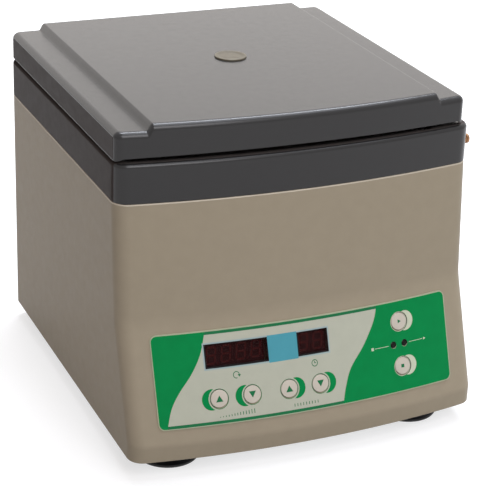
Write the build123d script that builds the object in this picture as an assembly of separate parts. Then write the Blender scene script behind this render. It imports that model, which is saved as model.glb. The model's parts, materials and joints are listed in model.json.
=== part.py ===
from build123d import *
import os
from math import atan2, cos, radians, sin, sqrt

os.makedirs("parts", exist_ok=True)

# Benchtop laboratory centrifuge.  Millimetres.
# While it is modelled, X = 0 is the middle of the cabinet, Y = 0 is midway between its rear face
# and its upper front edge at the sides, and Z = 0 is the lower edge of the cabinet; the front is
# at -Y.  On export everything moves so that the origin is under the middle of the whole machine,
# on the bench that the feet stand on.

# ---------------------------------------------------------------- driving dimensions

# cabinet
cabinet_width = 300.0
cabinet_depth = 278.3
cabinet_height = 199.3
upper_bend_z = 103.9
lower_bend_z = 13.8
upper_lean = 7.6
panel_reach = 39.7
front_bow = 13.4
corner_radius = 13.0
wall = 3.0
boss_overlap = 1.0

# grey top cover
cover_height = 31.8
cover_edge_radius = 3.5
mouth_inset = 1.0
mouth_setback = 6.0
cover_tongue = 5.0
cover_bridge = 2.0

# lid
lid_gap = 5.0
lid_width = 292.4
lid_offset = -3.8
lid_front_setback = 0.8
lid_rear_setback = 5.6
lid_side_height = 19.1
lid_panel_rise = 5.7
lid_panel_width = 231.4
lid_edge_radius = 5.2
lid_corner_radius = 7.5
lid_wall = 2.8
lid_least_radius = 1.5
lid_ramp_radius = 3.0
lid_ramp_share = 0.4
liner_thickness = 2.5
liner_boss_radius = 4.5
liner_boss_offset = 1.5
liner_boss_setback = 21.0
liner_screw_length = 9.0

# port window in the lid
port_flange_radius = 13.2
port_flange_height = 1.2
port_flange_chamfer = 0.72
port_barrel_radius = 11.0

# chamber
bowl_radius = 113.0
bowl_depth = 113.1
bowl_wall = 1.2
bowl_corner_radius = 20.0
bowl_flange = 8.0
bowl_hole_radius = 16.0
gasket_width = 6.0
gasket_lip = 2.0
gasket_chamfer = 2.0

# rotor
shaft_radius = 6.0
spigot_radius = 4.0
spigot_short = 0.5
thread_radius = 3.0
thread_length = 8.0
nut_collar_radius = 8.5
nut_collar_height = 2.5
rotor_nut_radius = 6.5
rotor_nut_height = 4.5
hub_radius = 27.0
hub_drop = 30.0
hub_thickness = 8.0
arm_root_gap = 2.0
arm_root_height = 10.0
pivot_depth = 35.1
pivot_radius = 46.0
arm_thickness = 5.0
arm_beyond_pivot = 7.0
arm_above_pivot = 7.0
bucket_radius = 12.2
bucket_band_height = 16.0
bucket_band = 0.6
bucket_wall = 1.2
bucket_foot_chamfer = 3.0
bucket_above_pivot = 8.0
bucket_below_pivot = 60.0
bucket_floor = 3.0
bucket_gap = 0.8
trunnion_radius = 3.0
cushion_thickness = 4.0
bucket_count = 4

# drive
motor_radius = 48.0
motor_wall = 5.0
motor_chamfer = 4.0
shaft_clearance = 1.0
boot_wall = 4.0
boot_lip = 2.5
boot_height = 9.3
fin_count = 5
fin_pitch = 11.0
fin_groove = 5.0
fin_depth = 3.0
armature_radius = 30.0
armature_end_gap = 4.0
armature_gap = 1.5
bearing_room = 3.0
bearing_radius = 14.0
bearing_height = 9.0
motor_plate_size = 128.0
motor_plate_thickness = 4.0
motor_plate_corner = 10.0
buffer_radius = 11.0
buffer_height = 22.0
buffer_waist = 3.0
buffer_spacing = 100.0

# base and feet
base_thickness = 1.5
foot_radius = 26.0
foot_neck_radius = 14.0
foot_height = 16.0
foot_inset = 43.0
foot_front_inset = 48.7
foot_rear_inset = 34.0
foot_screw_radius = 2.5
foot_seat = 5.0
foot_recess = 1.0
foot_neck_height = 4.0
foot_flare_reach = 4.2
foot_lip = 2.0
foot_rim_width = 4.0
foot_hollow = 3.5
foot_hollow_shoulder = 2.4
foot_hollow_share = 0.6
foot_screw_top = 8.0
foot_nut_radius = 4.5
foot_nut_height = 4.0
base_slot_count = 5
base_slot_pitch = 16.0
base_slot_offset = 22.0
base_slot_length = 34.0
base_slot_width = 5.0
base_screw_spare = 3.0
screw_radius = 2.0
screw_head_radius = 4.0
screw_head_height = 2.0
screw_head_chamfer = 0.8
boss_radius = 7.0
boss_height = 14.0

# control panel: heights of its level edges and of its keys on the sloping face
panel_centre_z = 59.7
overlay_width = 255.5
overlay_height = 69.7
overlay_z = 60.3
overlay_corner = 5.0
overlay_thickness = 0.8
window_z = 76.2
window_height = 18.0
window_ledge = 0.5
speed_window_x = -60.75
speed_window_width = 51.9
time_window_x = 3.3
time_window_width = 26.6
display_height = 19.0
display_margin = 0.8
digit_gap = 1.6
digit_height = 14.2
digit_recess = 0.8
key_radius = 7.0
key_proud = 0.5
key_travel = 0.8
key_clearance = 0.3
key_flange = 1.2
key_flange_rim = 1.4
key_edge = 0.3
key_stem_radius = 2.5
key_row_z = 44.4
start_key_z = 79.0
stop_key_z = 44.8
key_x = {"speed_up": -78.2, "speed_down": -51.2, "time_up": -20.4, "time_down": 6.5}
action_key_x = 81.8
led_x = (75.2, 85.7)
led_row_z = 62.0
led_radius = 2.5
led_chamfer = 0.75
board_depth = 17.0
board_width = 216.0
board_height = 64.0
board_thickness = 1.6
board_post_radius = 3.5
board_post_inset = (6.0, 5.0)
switch_size = 7.0
switch_height = 4.0
switch_corner = 0.8

# lid lock
lock_setback = 25.5
lock_drop = 16.9
bolt_radius = 3.0
bolt_chamfer = 0.8
striker_inset = 41.5
striker_thickness = 2.5
striker_width = 14.0
striker_foot = 15.0
striker_plate = 1.5
striker_screw_length = 6.0
striker_screw_head = 3.2
striker_clearance = 0.6
striker_window_gap = 0.7
striker_edge = 5.0
striker_corner = 3.0
striker_slot_gap = 2.7
pin_radius = 4.0
pin_reach = 5.0
pin_inside = 4.0
pin_chamfer = 1.2
solenoid_length = 22.0
solenoid_size = 16.0
solenoid_gap = 8.0
solenoid_chamfer = 1.5
bracket_thickness = 1.5

# hinges
hinge_inset = 62.0
hinge_radius = 5.0
hinge_pin_radius = 2.5
hinge_width = 36.0
hinge_leaf = 2.5
plate_low = 31.0
plate_high = 5.0
plate_corner = 4.0
ear_low = 20.0
ear_high = 6.0
plate_screw_low = 25.5
plate_screw_high = 13.0
plate_screw_reach = 11.0
plate_screw_length = 9.0
plate_hole_depth = 11.0
ear_root = 0.2
arm_low = 1.0
arm_high = 16.0
arm_corner = 2.5
arm_ear_margin = 1.5
arm_screw_rise = 9.0
arm_screw_reach = 13.0
arm_screw_length = 6.0
arm_hole_depth = 7.0
cheek_thickness = 5.0
knuckle_width = 18.0
axis_behind = 5.9
axis_above = 9.9

# rear fittings
rear_fitting_z = 46.0
inlet_inset = 46.0
inlet_half_x = 13.4
inlet_half_z = 9.8
inlet_recess = 15.5
inlet_back = 4.5
inlet_flange = 2.5
inlet_corner = 3.0
inlet_side_wall = 1.4
inlet_end_wall = 1.8
inlet_chamfer = 4.0
inlet_pin_places = ((-7.0, -2.0), (7.0, -2.0), (0.0, 2.0))
inlet_pin_half = (1.0, 2.0)
inlet_pin_setback = 4.0
fuse_radius = 6.0
fuse_length = 24.0
fuse_root = 0.5
fuse_flange = 2.5
fuse_flange_thickness = 2.0
fuse_cap_rim = 0.5
fuse_cap_height = 4.0
fuse_cap_chamfer = 1.0
fuse_slot_width = 2.0
fuse_slot_depth = 1.2
switch_half_x = 6.4
switch_half_z = 9.6
switch_flange = (1.8, 2.0)
switch_flange_thickness = 2.0
switch_flange_corner = 1.5
switch_back = 5.0
fuse_inset = 84.0
switch_inset = 116.0
rocker_radius = 8.0
rocker_width = 9.8
rocker_tilt = 10.0
rocker_setback = 3.0
rocker_valley = 0.65
rocker_room = 1.5
vent_count = 8
vent_width = 70.0
vent_height = 3.2
vent_pitch = 8.0
vent_inset = 80.0
vent_low_z = 60.0

# power supply
transformer_inset = 54.0
transformer_setback = 55.0
core_length = 66.0
core_width = 34.0
core_height = 56.0
core_limb = 11.0
coil_length = 42.0
coil_width = 56.0
coil_corner = 6.0
drive_board_inset = 52.0
drive_board_setback = 95.0
drive_board_width = 64.0
drive_board_length = 110.0
board_edge = 5.0
standoff_radius = 3.0
standoff_height = 6.0
sink_width = 12.0
sink_length = 70.0
sink_height = 22.0
capacitor_radius = 6.5
capacitor_height = 18.0
capacitor_pitch = 30.0

# fits
seat_gap = 0.3
fit_gap = 0.05

# cutting shapes: how far they run past what they cut
past = 1.0
bar_overrun = 20.0
bore_length = 30.0

# ---------------------------------------------------------------- derived places

half_width = cabinet_width / 2
rear_y = cabinet_depth / 2
mouth_radius = bowl_radius - mouth_inset
foot_x = half_width - foot_inset
inlet_x = half_width - inlet_inset
fuse_x = half_width - fuse_inset
switch_x = half_width - switch_inset
vent_x = vent_inset - half_width
hinge_x = half_width - hinge_inset
striker_x = half_width - striker_inset
transformer_x = transformer_inset - half_width
transformer_y = rear_y - transformer_setback
drive_board_x = half_width - drive_board_inset
drive_board_y = rear_y - drive_board_setback
bow_radius = (half_width**2 + front_bow**2) / (2 * front_bow)
apex_y = -rear_y - front_bow
rotor_y = -mouth_setback
cover_top_z = cabinet_height + cover_height
lid_low_z = cover_top_z + lid_gap
lid_side_z = lid_low_z + lid_side_height
lid_top_z = lid_side_z + lid_panel_rise
lid_rear_y = rear_y - lid_rear_setback
lid_left = lid_offset - lid_width / 2
lid_right = lid_offset + lid_width / 2
slope = atan2(panel_reach - upper_lean, upper_bend_z - lower_bend_z)
hinge_y = rear_y + axis_behind
hinge_z = cover_top_z + axis_above
bowl_floor_z = cover_top_z - bowl_depth
pivot_z = cover_top_z - pivot_depth
hub_low_z = pivot_z - hub_drop
arm_top_z = pivot_z + arm_above_pivot
arm_reach = pivot_radius + arm_beyond_pivot
motor_plate_z = base_thickness + buffer_height
motor_low_z = motor_plate_z + motor_plate_thickness
motor_top_z = bowl_floor_z - bowl_wall - boot_height
motor_height = motor_top_z - motor_low_z
motor_middle_z = (motor_low_z + motor_top_z) / 2
armature_height = motor_height - 2 * (motor_wall + bearing_height + armature_end_gap)
lock_y = apex_y + lock_setback
lock_z = cover_top_z - lock_drop
foot_front_y = apex_y - panel_reach + foot_front_inset
foot_rear_y = rear_y - foot_rear_inset
foot_places = [(x, y) for x in (-foot_x, foot_x) for y in (foot_front_y, foot_rear_y)]
bolt_tip_x = striker_x + striker_thickness + striker_clearance


def sag(x, radius=bow_radius):
    """How far the bowed front falls back at x from its middle."""
    return radius - sqrt(radius**2 - x**2)


def front_shift(z):
    """How far the front face stands forward of the upper edge at height z."""
    if z >= upper_bend_z:
        return upper_lean * (cabinet_height - z) / (cabinet_height - upper_bend_z)
    drop = min((upper_bend_z - z) / (upper_bend_z - lower_bend_z), 1.0)
    return upper_lean + (panel_reach - upper_lean) * drop


def plan_face(left, right, front_apex, rear, radius, z, arc_radius=bow_radius):
    """Level section: straight sides and rear, bowed front, rounded corners."""
    front_left = front_apex + sag(left, arc_radius)
    front_right = front_apex + sag(right, arc_radius)
    outline = [
        Line((right, front_right), (right, rear)),
        Line((right, rear), (left, rear)),
        Line((left, rear), (left, front_left)),
        ThreePointArc((left, front_left), (0, front_apex), (right, front_right)),
    ]
    face = make_face(outline)
    return Pos(0, 0, z) * fillet(face.vertices(), radius)


def cabinet_face(inset, z, forward=0.0):
    side = half_width - inset
    front = apex_y - front_shift(z) + inset - forward
    return plan_face(-side, side, front, rear_y - inset, corner_radius - inset, z, bow_radius - inset)


def lid_face(inset, z):
    front = apex_y + lid_front_setback + inset
    radius = max(lid_corner_radius - inset, lid_least_radius)
    return plan_face(lid_left + inset, lid_right - inset, front, lid_rear_y - inset, radius, z,
                     bow_radius - inset)


def cabinet_body(inset=0.0, overrun=0.0, forward=0.0):
    """The cabinet's outer form, or its inside when inset by the wall."""
    levels = (-overrun, lower_bend_z, upper_bend_z, cabinet_height + overrun)
    return loft([cabinet_face(inset, z, forward) for z in levels], ruled=True)


panel_origin = Vector(0, apex_y - front_shift(panel_centre_z), panel_centre_z)
panel_plane = Plane(origin=panel_origin, x_dir=(1, 0, 0), z_dir=(0, -cos(slope), sin(slope)))


def panel_rise(x, z):
    """Distance up the panel plane, from its origin, to the face point at x and height z."""
    return (z - panel_centre_z) / cos(slope) + sag(x) * sin(slope)


def panel_normal(x):
    lean = x / sqrt(bow_radius**2 - x**2)
    return Vector(lean, -1, (panel_reach - upper_lean) / (upper_bend_z - lower_bend_z)).normalized()


def face_plane(x, z):
    """Plane touching the bowed, sloping face at x and height z, with its normal outward."""
    point = Vector(x, apex_y - front_shift(z) + sag(x), z)
    return Plane(origin=point, x_dir=(1, 0, 0), z_dir=panel_normal(x))


def level_bar(width, height, x, z, corner=0.0):
    """Bar that runs front to back through the panel, so that its edges there are level."""
    outline = RectangleRounded(width, height, corner) if corner else Rectangle(width, height)
    start = Plane.XZ.offset(-apex_y - bar_overrun) * Pos(x, z)
    return extrude(start * outline, amount=panel_reach + 2 * bar_overrun)


def rod(radius, length, place, turn=(0, 0, 0)):
    """Cylinder that starts at a place and runs along its turned Z axis."""
    return Pos(*place) * Rot(*turn) * Cylinder(
        radius, length, align=(Align.CENTER, Align.CENTER, Align.MIN))


def block(x_range, y_range, z_range):
    """Box between two limits on each axis."""
    size = [high - low for low, high in (x_range, y_range, z_range)]
    low = [limits[0] for limits in (x_range, y_range, z_range)]
    return Pos(*low) * Box(*size, align=(Align.MIN, Align.MIN, Align.MIN))


def ring(outer, inner, height, place):
    return rod(outer, height, place) - rod(inner, height, place)


def screw(place, length, turn=(0, 0, 0), radius=screw_radius - fit_gap, head=screw_head_radius):
    """Pan-head screw with its head's seat at the place and its shank along turned +Z."""
    cap = Pos(0, 0, -screw_head_height) * Cylinder(
        head, screw_head_height, align=(Align.CENTER, Align.CENTER, Align.MIN))
    cap = chamfer(cap.edges().group_by(Axis.Z)[0], screw_head_chamfer)
    shank = Cylinder(radius, length, align=(Align.CENTER, Align.CENTER, Align.MIN))
    return Pos(*place) * Rot(*turn) * (cap + shank)


# ---------------------------------------------------------------- cabinet

key_places = {name: (x, key_row_z) for name, x in key_x.items()}
key_places["start"] = (action_key_x, start_key_z)
key_places["stop"] = (action_key_x, stop_key_z)
window_places = {
    "speed": (speed_window_x, speed_window_width),
    "time": (time_window_x, time_window_width),
}
boss_x = half_width - wall - boss_radius + boss_overlap
boss_rows = (
    apex_y - panel_reach + sag(half_width) + wall + boss_radius,
    0.0,
    rear_y - wall - boss_radius + boss_overlap,
)
base_boss_places = [(sx * boss_x, y) for sx in (-1, 1) for y in boss_rows]
board_boss_places = [(sx * (board_width / 2 - board_post_inset[0]),
                      sy * (board_height / 2 - board_post_inset[1]))
                     for sx in (-1, 1) for sy in (-1, 1)]


def key_bore(x, z, radius):
    """Cylinder through the panel wall, square to the face at a key or lamp."""
    return face_plane(x, z) * Cylinder(radius, bore_length)


def rear_cutout(x, half_x, half_z):
    return block((x - half_x, x + half_x), (rear_y - wall - past, rear_y + past),
                 (rear_fitting_z - half_z, rear_fitting_z + half_z))


def make_cabinet():
    """Moulded cabinet: bowed front, sloping panel, and posts for base and board."""
    shell = cabinet_body() - cabinet_body(inset=wall, overrun=past)
    for x, y in base_boss_places:
        shell += rod(boss_radius, boss_height, (x, y, base_thickness))
    inside = cabinet_body(inset=wall / 2, overrun=past)
    for x, rise in board_boss_places:
        post = panel_plane * Pos(x, rise, -board_depth) * Cylinder(
            board_post_radius, board_depth, align=(Align.CENTER, Align.CENTER, Align.MIN))
        shell += post & inside
    for x, y in base_boss_places:
        shell -= rod(screw_radius, boss_height, (x, y, base_thickness - past))
    for x, width in window_places.values():
        shell -= level_bar(width - 2 * window_ledge, window_height - 2 * window_ledge, x, window_z)
    for x, z in key_places.values():
        shell -= key_bore(x, z, key_radius + key_clearance)
    for x in led_x:
        shell -= key_bore(x, led_row_z, led_radius + key_clearance)
    for row in range(vent_count):
        slot = SlotOverall(vent_width, vent_height)
        place = Plane.XZ.offset(-rear_y) * Pos(vent_x, vent_low_z + row * vent_pitch)
        shell -= extrude(place * slot, amount=wall + past, both=True)
    shell -= rear_cutout(inlet_x, inlet_half_x + seat_gap, inlet_half_z + seat_gap)
    shell -= rear_cutout(switch_x, switch_half_x + seat_gap, switch_half_z + seat_gap)
    fuse_start = (fuse_x, rear_y + past, rear_fitting_z)
    shell -= rod(fuse_radius + seat_gap, wall + 2 * past, fuse_start, (90, 0, 0))
    return shell


def make_base():
    """Flat tray that closes the cabinet, with slots that let the motor's air in."""
    plate = extrude(cabinet_face(wall + seat_gap, 0), base_thickness)
    for x, y in base_boss_places:
        plate -= rod(screw_radius + seat_gap, base_thickness + 2 * past, (x, y, -past))
    for x, y in foot_places:
        plate -= rod(foot_screw_radius + seat_gap, base_thickness + 2 * past, (x, y, -past))
    for column in range(base_slot_count):
        for sy in (-1, 1):
            x = (column - (base_slot_count - 1) / 2) * base_slot_pitch
            y = rotor_y + sy * (motor_plate_size / 2 + base_slot_offset)
            slot = Pos(x, y) * SlotOverall(base_slot_length, base_slot_width, rotation=90)
            plate -= extrude(slot, amount=base_thickness + past, both=True)
    return plate


def make_foot(x, y):
    """Rubber suction foot: narrow neck, wide soft rim and hollow underside."""
    rim, neck = foot_radius, foot_neck_radius
    inner = rim - foot_rim_width
    low = -foot_height
    shoulder = (inner * foot_hollow_share, low + foot_hollow_shoulder)
    underside = ThreePointArc((inner, low), shoulder, (0, low + foot_hollow))
    knee = (neck + foot_flare_reach, low / 2 - foot_recess)
    flare = ThreePointArc((neck, -foot_neck_height), knee, (rim, low + foot_lip))
    profile = make_face([
        Line((0, 0), (neck, 0)),
        Line((neck, 0), (neck, -foot_neck_height)),
        flare,
        Line((rim, low + foot_lip), (rim, low)),
        Line((rim, low), (inner, low)),
        underside,
        Line((0, low + foot_hollow), (0, 0)),
    ])
    body = revolve(Plane.XZ * profile, Axis.Z)
    body -= rod(foot_screw_radius + fit_gap, foot_height, (0, 0, low + foot_recess))
    body -= rod(screw_head_radius + seat_gap, foot_seat, (0, 0, low + foot_recess))
    return Pos(x, y, 0) * body


def make_feet():
    return [make_foot(x, y) for x, y in foot_places]


def make_foot_screws():
    """Screws up through the feet, and the nuts above the base that hold them."""
    seat_z = foot_seat + foot_recess - foot_height
    screws = [screw((x, y, seat_z), foot_screw_top - seat_z, radius=foot_screw_radius)
              for x, y in foot_places]
    nut = extrude(RegularPolygon(foot_nut_radius, 6), amount=foot_nut_height)
    nut -= rod(foot_screw_radius + fit_gap, foot_nut_height + 2 * past, (0, 0, -past))
    return screws + [Pos(x, y, base_thickness) * nut for x, y in foot_places]


def make_base_screws():
    return [screw((x, y, 0), boss_height - base_screw_spare) for x, y in base_boss_places]


# ---------------------------------------------------------------- top cover and chamber


def make_cover():
    """Grey cover that closes the cabinet, with the chamber's mouth and a tongue below."""
    body = extrude(cabinet_face(0, cabinet_height), cover_height)
    body = fillet(body.edges().group_by(Axis.Z)[-1], cover_edge_radius)
    body -= extrude(cabinet_face(wall, cabinet_height - past), cover_height - wall + past)
    tongue = extrude(cabinet_face(wall + seat_gap, cabinet_height), cover_bridge + cover_tongue)
    tongue -= extrude(cabinet_face(2 * wall, cabinet_height), cover_bridge + cover_tongue)
    bridge = extrude(cabinet_face(wall / 2, cabinet_height), cover_bridge)
    bridge -= extrude(cabinet_face(2 * wall, cabinet_height - past), cover_bridge + 2 * past)
    body += Pos(0, 0, -cover_tongue) * tongue + bridge
    body -= rod(mouth_radius, 3 * wall, (0, rotor_y, cover_top_z - 2 * wall))
    slot_x = striker_x + striker_thickness / 2
    slot_half_x = striker_thickness / 2 + striker_slot_gap
    slot_half_y = striker_width / 2 + 2 * striker_slot_gap
    body -= block((slot_x - slot_half_x, slot_x + slot_half_x),
                  (lock_y - slot_half_y, lock_y + slot_half_y),
                  (cover_top_z - 2 * wall, cover_top_z + past))
    body -= rod(pin_radius + seat_gap, 3 * wall, (half_width - 2 * wall, lock_y, lock_z), (0, 90, 0))
    for x, z in hinge_screw_places():
        body -= rod(screw_radius, plate_hole_depth + past, (x, rear_y + past, z), (90, 0, 0))
    return body


def make_bowl():
    """Spun steel bowl that hangs from the cover by its flange."""
    flange_top = cover_top_z - wall
    depth = flange_top - bowl_floor_z
    outer = rod(bowl_radius + bowl_wall, depth, (0, rotor_y, bowl_floor_z - bowl_wall))
    outer = fillet(outer.edges().group_by(Axis.Z)[0], bowl_corner_radius + bowl_wall)
    inner = rod(bowl_radius, depth + past, (0, rotor_y, bowl_floor_z))
    inner = fillet(inner.edges().group_by(Axis.Z)[0], bowl_corner_radius)
    flange = rod(bowl_radius + bowl_flange, bowl_wall, (0, rotor_y, flange_top - bowl_wall))
    bowl = outer + flange - inner
    return bowl - rod(bowl_hole_radius, bowl_wall + 2 * past, (0, rotor_y, bowl_floor_z - bowl_wall - past))


def make_gasket():
    """Rubber ring: a lip inside the cover's mouth and a round bead that the lid lands on."""
    inner = mouth_radius - gasket_lip
    bead = ring(mouth_radius + gasket_width, inner, lid_gap - seat_gap, (0, rotor_y, cover_top_z))
    bead = chamfer(bead.edges().group_by(Axis.Z)[-1], gasket_chamfer)
    return bead + ring(mouth_radius, inner, wall, (0, rotor_y, cover_top_z - wall))


# ---------------------------------------------------------------- lid

port_place = (lid_offset, rotor_y)
gasket_outer = mouth_radius + gasket_width
lid_inner_x = lid_width / 2 - lid_wall
boss_reach = ((gasket_outer + lid_inner_x) / 2 + liner_boss_offset, rear_y - liner_boss_setback)
liner_boss_places = [
    (lid_offset + sx * boss_reach[0], sy * boss_reach[1]) for sx in (-1, 1) for sy in (-1, 0, 1)
]
striker_screw_places = [
    (striker_x + (striker_thickness + striker_foot) / 2, lock_y + sy * striker_width / 4)
    for sy in (-1, 1)
]


def raised_panel(inset, low_z):
    """Raised middle of the lid, whose sides slope out at 45 degrees down to a level."""
    drop = lid_top_z - inset - low_z
    half = lid_panel_width / 2 - lid_ramp_share * inset
    section = Polygon((-half, drop), (half, drop), (half + drop, 0), (-half - drop, 0), align=None)
    section = fillet(section.vertices().group_by(Axis.Y)[-1], lid_ramp_radius)
    bar = extrude(Plane.XZ * Pos(lid_offset, low_z) * section, amount=2 * cabinet_depth, both=True)
    slab = extrude(lid_face(inset, low_z), drop)
    if inset == 0:
        slab = fillet(slab.edges().group_by(Axis.Z)[-1], lid_edge_radius)
    return slab & bar


def make_lid():
    """Moulded lid: a wide raised middle between two lower side strips, hollow below."""
    slab = extrude(lid_face(0, lid_low_z), lid_side_height)
    slab = fillet(slab.edges().group_by(Axis.Z)[-1], lid_edge_radius)
    shell = slab + raised_panel(0, lid_side_z - lid_edge_radius)
    hollow = extrude(lid_face(lid_wall, lid_low_z - past), lid_side_height - lid_wall + past)
    shell -= hollow + raised_panel(lid_wall, lid_side_z - 2 * lid_wall)
    boss_low = lid_low_z + liner_thickness
    for x, y in liner_boss_places:
        shell += rod(liner_boss_radius, lid_side_z - lid_wall - boss_low + past, (x, y, boss_low))
        shell -= rod(screw_radius, liner_screw_length + past, (x, y, boss_low - past))
    shell -= rod(port_barrel_radius + fit_gap, lid_top_z - lid_low_z + past, (*port_place, lid_low_z))
    for x, z in arm_screw_places():
        shell -= rod(screw_radius, arm_hole_depth + past, (x, lid_rear_y + past, z), (90, 0, 0))
    return shell


def make_liner():
    """Flat inner panel that closes the lid and lands on the gasket."""
    plate = extrude(lid_face(lid_wall + seat_gap, lid_low_z), liner_thickness)
    plate -= rod(port_barrel_radius + fit_gap, liner_thickness + 2 * past, (*port_place, lid_low_z - past))
    for x, y in liner_boss_places + striker_screw_places:
        plate -= rod(screw_radius, liner_thickness + 2 * past, (x, y, lid_low_z - past))
    return plate


def make_port():
    """Clear plug through the lid, for reading the rotor's speed by light."""
    barrel = rod(port_barrel_radius, lid_top_z - lid_low_z, (*port_place, lid_low_z))
    flange = rod(port_flange_radius, port_flange_height, (*port_place, lid_top_z))
    flange = chamfer(flange.edges().group_by(Axis.Z)[-1], port_flange_chamfer)
    return barrel + flange


def make_liner_screws():
    screws = [screw((x, y, lid_low_z), liner_screw_length) for x, y in liner_boss_places]
    foot_low = lid_low_z - striker_plate
    return screws + [screw((x, y, foot_low), striker_screw_length, head=striker_screw_head)
                     for x, y in striker_screw_places]


def make_striker():
    """Angle bracket under the lid; the bolt passes through the square window in its tongue."""
    foot_low = lid_low_z - striker_plate
    window_half = bolt_radius + striker_window_gap
    tongue_low = lock_z - bolt_radius - striker_edge
    y_range = (lock_y - striker_width / 2, lock_y + striker_width / 2)
    tongue = block((striker_x, striker_x + striker_thickness), y_range, (tongue_low, lid_low_z))
    tongue = fillet(tongue.edges().filter_by(Axis.X).group_by(Axis.Z)[0], striker_corner)
    bracket = tongue + block((striker_x, striker_x + striker_foot), y_range, (foot_low, lid_low_z))
    bracket -= block((striker_x - striker_thickness, striker_x + 2 * striker_thickness),
                     (lock_y - window_half, lock_y + window_half),
                     (lock_z - window_half, lock_z + window_half))
    for x, y in striker_screw_places:
        bracket -= rod(screw_radius, striker_plate + 2 * past, (x, y, foot_low - past))
    return bracket


# ---------------------------------------------------------------- hinges


def hinge_screw_places():
    """Across and up the cover's rear wall: two low screws and one between the ears."""
    low, high = cover_top_z - plate_screw_low, cover_top_z - plate_screw_high
    spots = ((-plate_screw_reach, low), (plate_screw_reach, low), (0, high))
    return [(sx * hinge_x + dx, z) for sx in (-1, 1) for dx, z in spots]


def arm_screw_places():
    z = lid_low_z + arm_screw_rise
    return [(sx * hinge_x + dx, z) for sx in (-1, 1) for dx in (-arm_screw_reach, arm_screw_reach)]


def ear(x_low, width, anchor_y, anchor_low, anchor_high):
    """Rounded ear from a leaf's face to the hinge axis."""
    eye = Pos(hinge_y, hinge_z) * Circle(hinge_radius)
    foot = Pos(anchor_y, (anchor_low + anchor_high) / 2) * Rectangle(
        ear_root, anchor_high - anchor_low)
    outline = make_hull(eye.edges() + foot.edges())
    return extrude(Plane.YZ.offset(x_low) * outline, amount=width)


def hinge_bore(centre, radius):
    return rod(radius, 2 * hinge_width, (centre - hinge_width, hinge_y, hinge_z), (0, 90, 0))


def make_hinge_plate(centre):
    """Steel leaf on the cover's rear, with two ears that hold the pin."""
    leaf = block((centre - hinge_width / 2, centre + hinge_width / 2),
                 (rear_y, rear_y + hinge_leaf), (cover_top_z - plate_low, cover_top_z - plate_high))
    leaf = fillet(leaf.edges().filter_by(Axis.Y).group_by(Axis.Z)[0], plate_corner)
    inner = knuckle_width / 2 + seat_gap
    for start in (centre - inner - cheek_thickness, centre + inner):
        leaf += ear(start, cheek_thickness, rear_y + hinge_leaf / 2,
                    cover_top_z - ear_low, cover_top_z - ear_high)
    leaf -= hinge_bore(centre, hinge_pin_radius)
    for x, z in hinge_screw_places():
        start = (x, rear_y + hinge_leaf + past, z)
        leaf -= rod(screw_radius + seat_gap, hinge_leaf + 2 * past, start, (90, 0, 0))
    return leaf


def make_hinge_arm(centre):
    """Steel leaf on the lid's rear, with the knuckle that turns on the pin."""
    leaf = block((centre - hinge_width / 2, centre + hinge_width / 2),
                 (lid_rear_y, lid_rear_y + hinge_leaf), (lid_low_z + arm_low, lid_low_z + arm_high))
    leaf = fillet(leaf.edges().filter_by(Axis.Y), arm_corner)
    leaf += ear(centre - knuckle_width / 2, knuckle_width, lid_rear_y + hinge_leaf / 2,
                lid_low_z + arm_low + arm_ear_margin, lid_low_z + arm_high - arm_ear_margin)
    leaf -= hinge_bore(centre, hinge_pin_radius + fit_gap)
    for x, z in arm_screw_places():
        start = (x, lid_rear_y + hinge_leaf + past, z)
        leaf -= rod(screw_radius + seat_gap, hinge_leaf + 2 * past, start, (90, 0, 0))
    return leaf


def make_hinge_pins():
    length = knuckle_width + 2 * seat_gap + 2 * cheek_thickness
    return [rod(hinge_pin_radius, length, (sx * hinge_x - length / 2, hinge_y, hinge_z), (0, 90, 0))
            for sx in (-1, 1)]


def make_hinge_screws():
    return [screw((x, rear_y + hinge_leaf, z), plate_screw_length, (90, 0, 0))
            for x, z in hinge_screw_places()]


def make_arm_screws():
    return [screw((x, lid_rear_y + hinge_leaf, z), arm_screw_length, (90, 0, 0))
            for x, z in arm_screw_places()]


# ---------------------------------------------------------------- control panel


def overlay_film():
    film = cabinet_body(forward=overlay_thickness / cos(slope))
    film &= level_bar(overlay_width, overlay_height, 0, overlay_z, overlay_corner)
    return film - cabinet_body()


def make_overlay():
    """Printed film on the sloping face, cut out for windows, keys and lamps."""
    film = overlay_film()
    for x, width in window_places.values():
        film -= level_bar(width, window_height, x, window_z)
    for x, z in key_places.values():
        film -= key_bore(x, z, key_radius + key_clearance)
    for x in led_x:
        film -= key_bore(x, led_row_z, led_radius + key_clearance)
    return film


def make_window(name):
    x, width = window_places[name]
    return overlay_film() & level_bar(width, window_height, x, window_z)


def make_display(name, digits):
    """Seven-segment module behind its window, standing on the control board."""
    x, width = window_places[name]
    face = -sag(abs(x) + width / 2) * cos(slope) - wall - seat_gap
    length = width - 2 * display_margin
    rise = panel_rise(x, window_z)
    body = Pos(x, rise, -board_depth) * Box(
        length, display_height, board_depth + face, align=(Align.CENTER, Align.CENTER, Align.MIN))
    pitch = length / digits
    for index in range(digits):
        centre = x - length / 2 + pitch * (index + 0.5)
        body -= Pos(centre, rise, face) * Box(
            pitch - digit_gap, digit_height, digit_recess)
    return panel_plane * body


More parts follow.
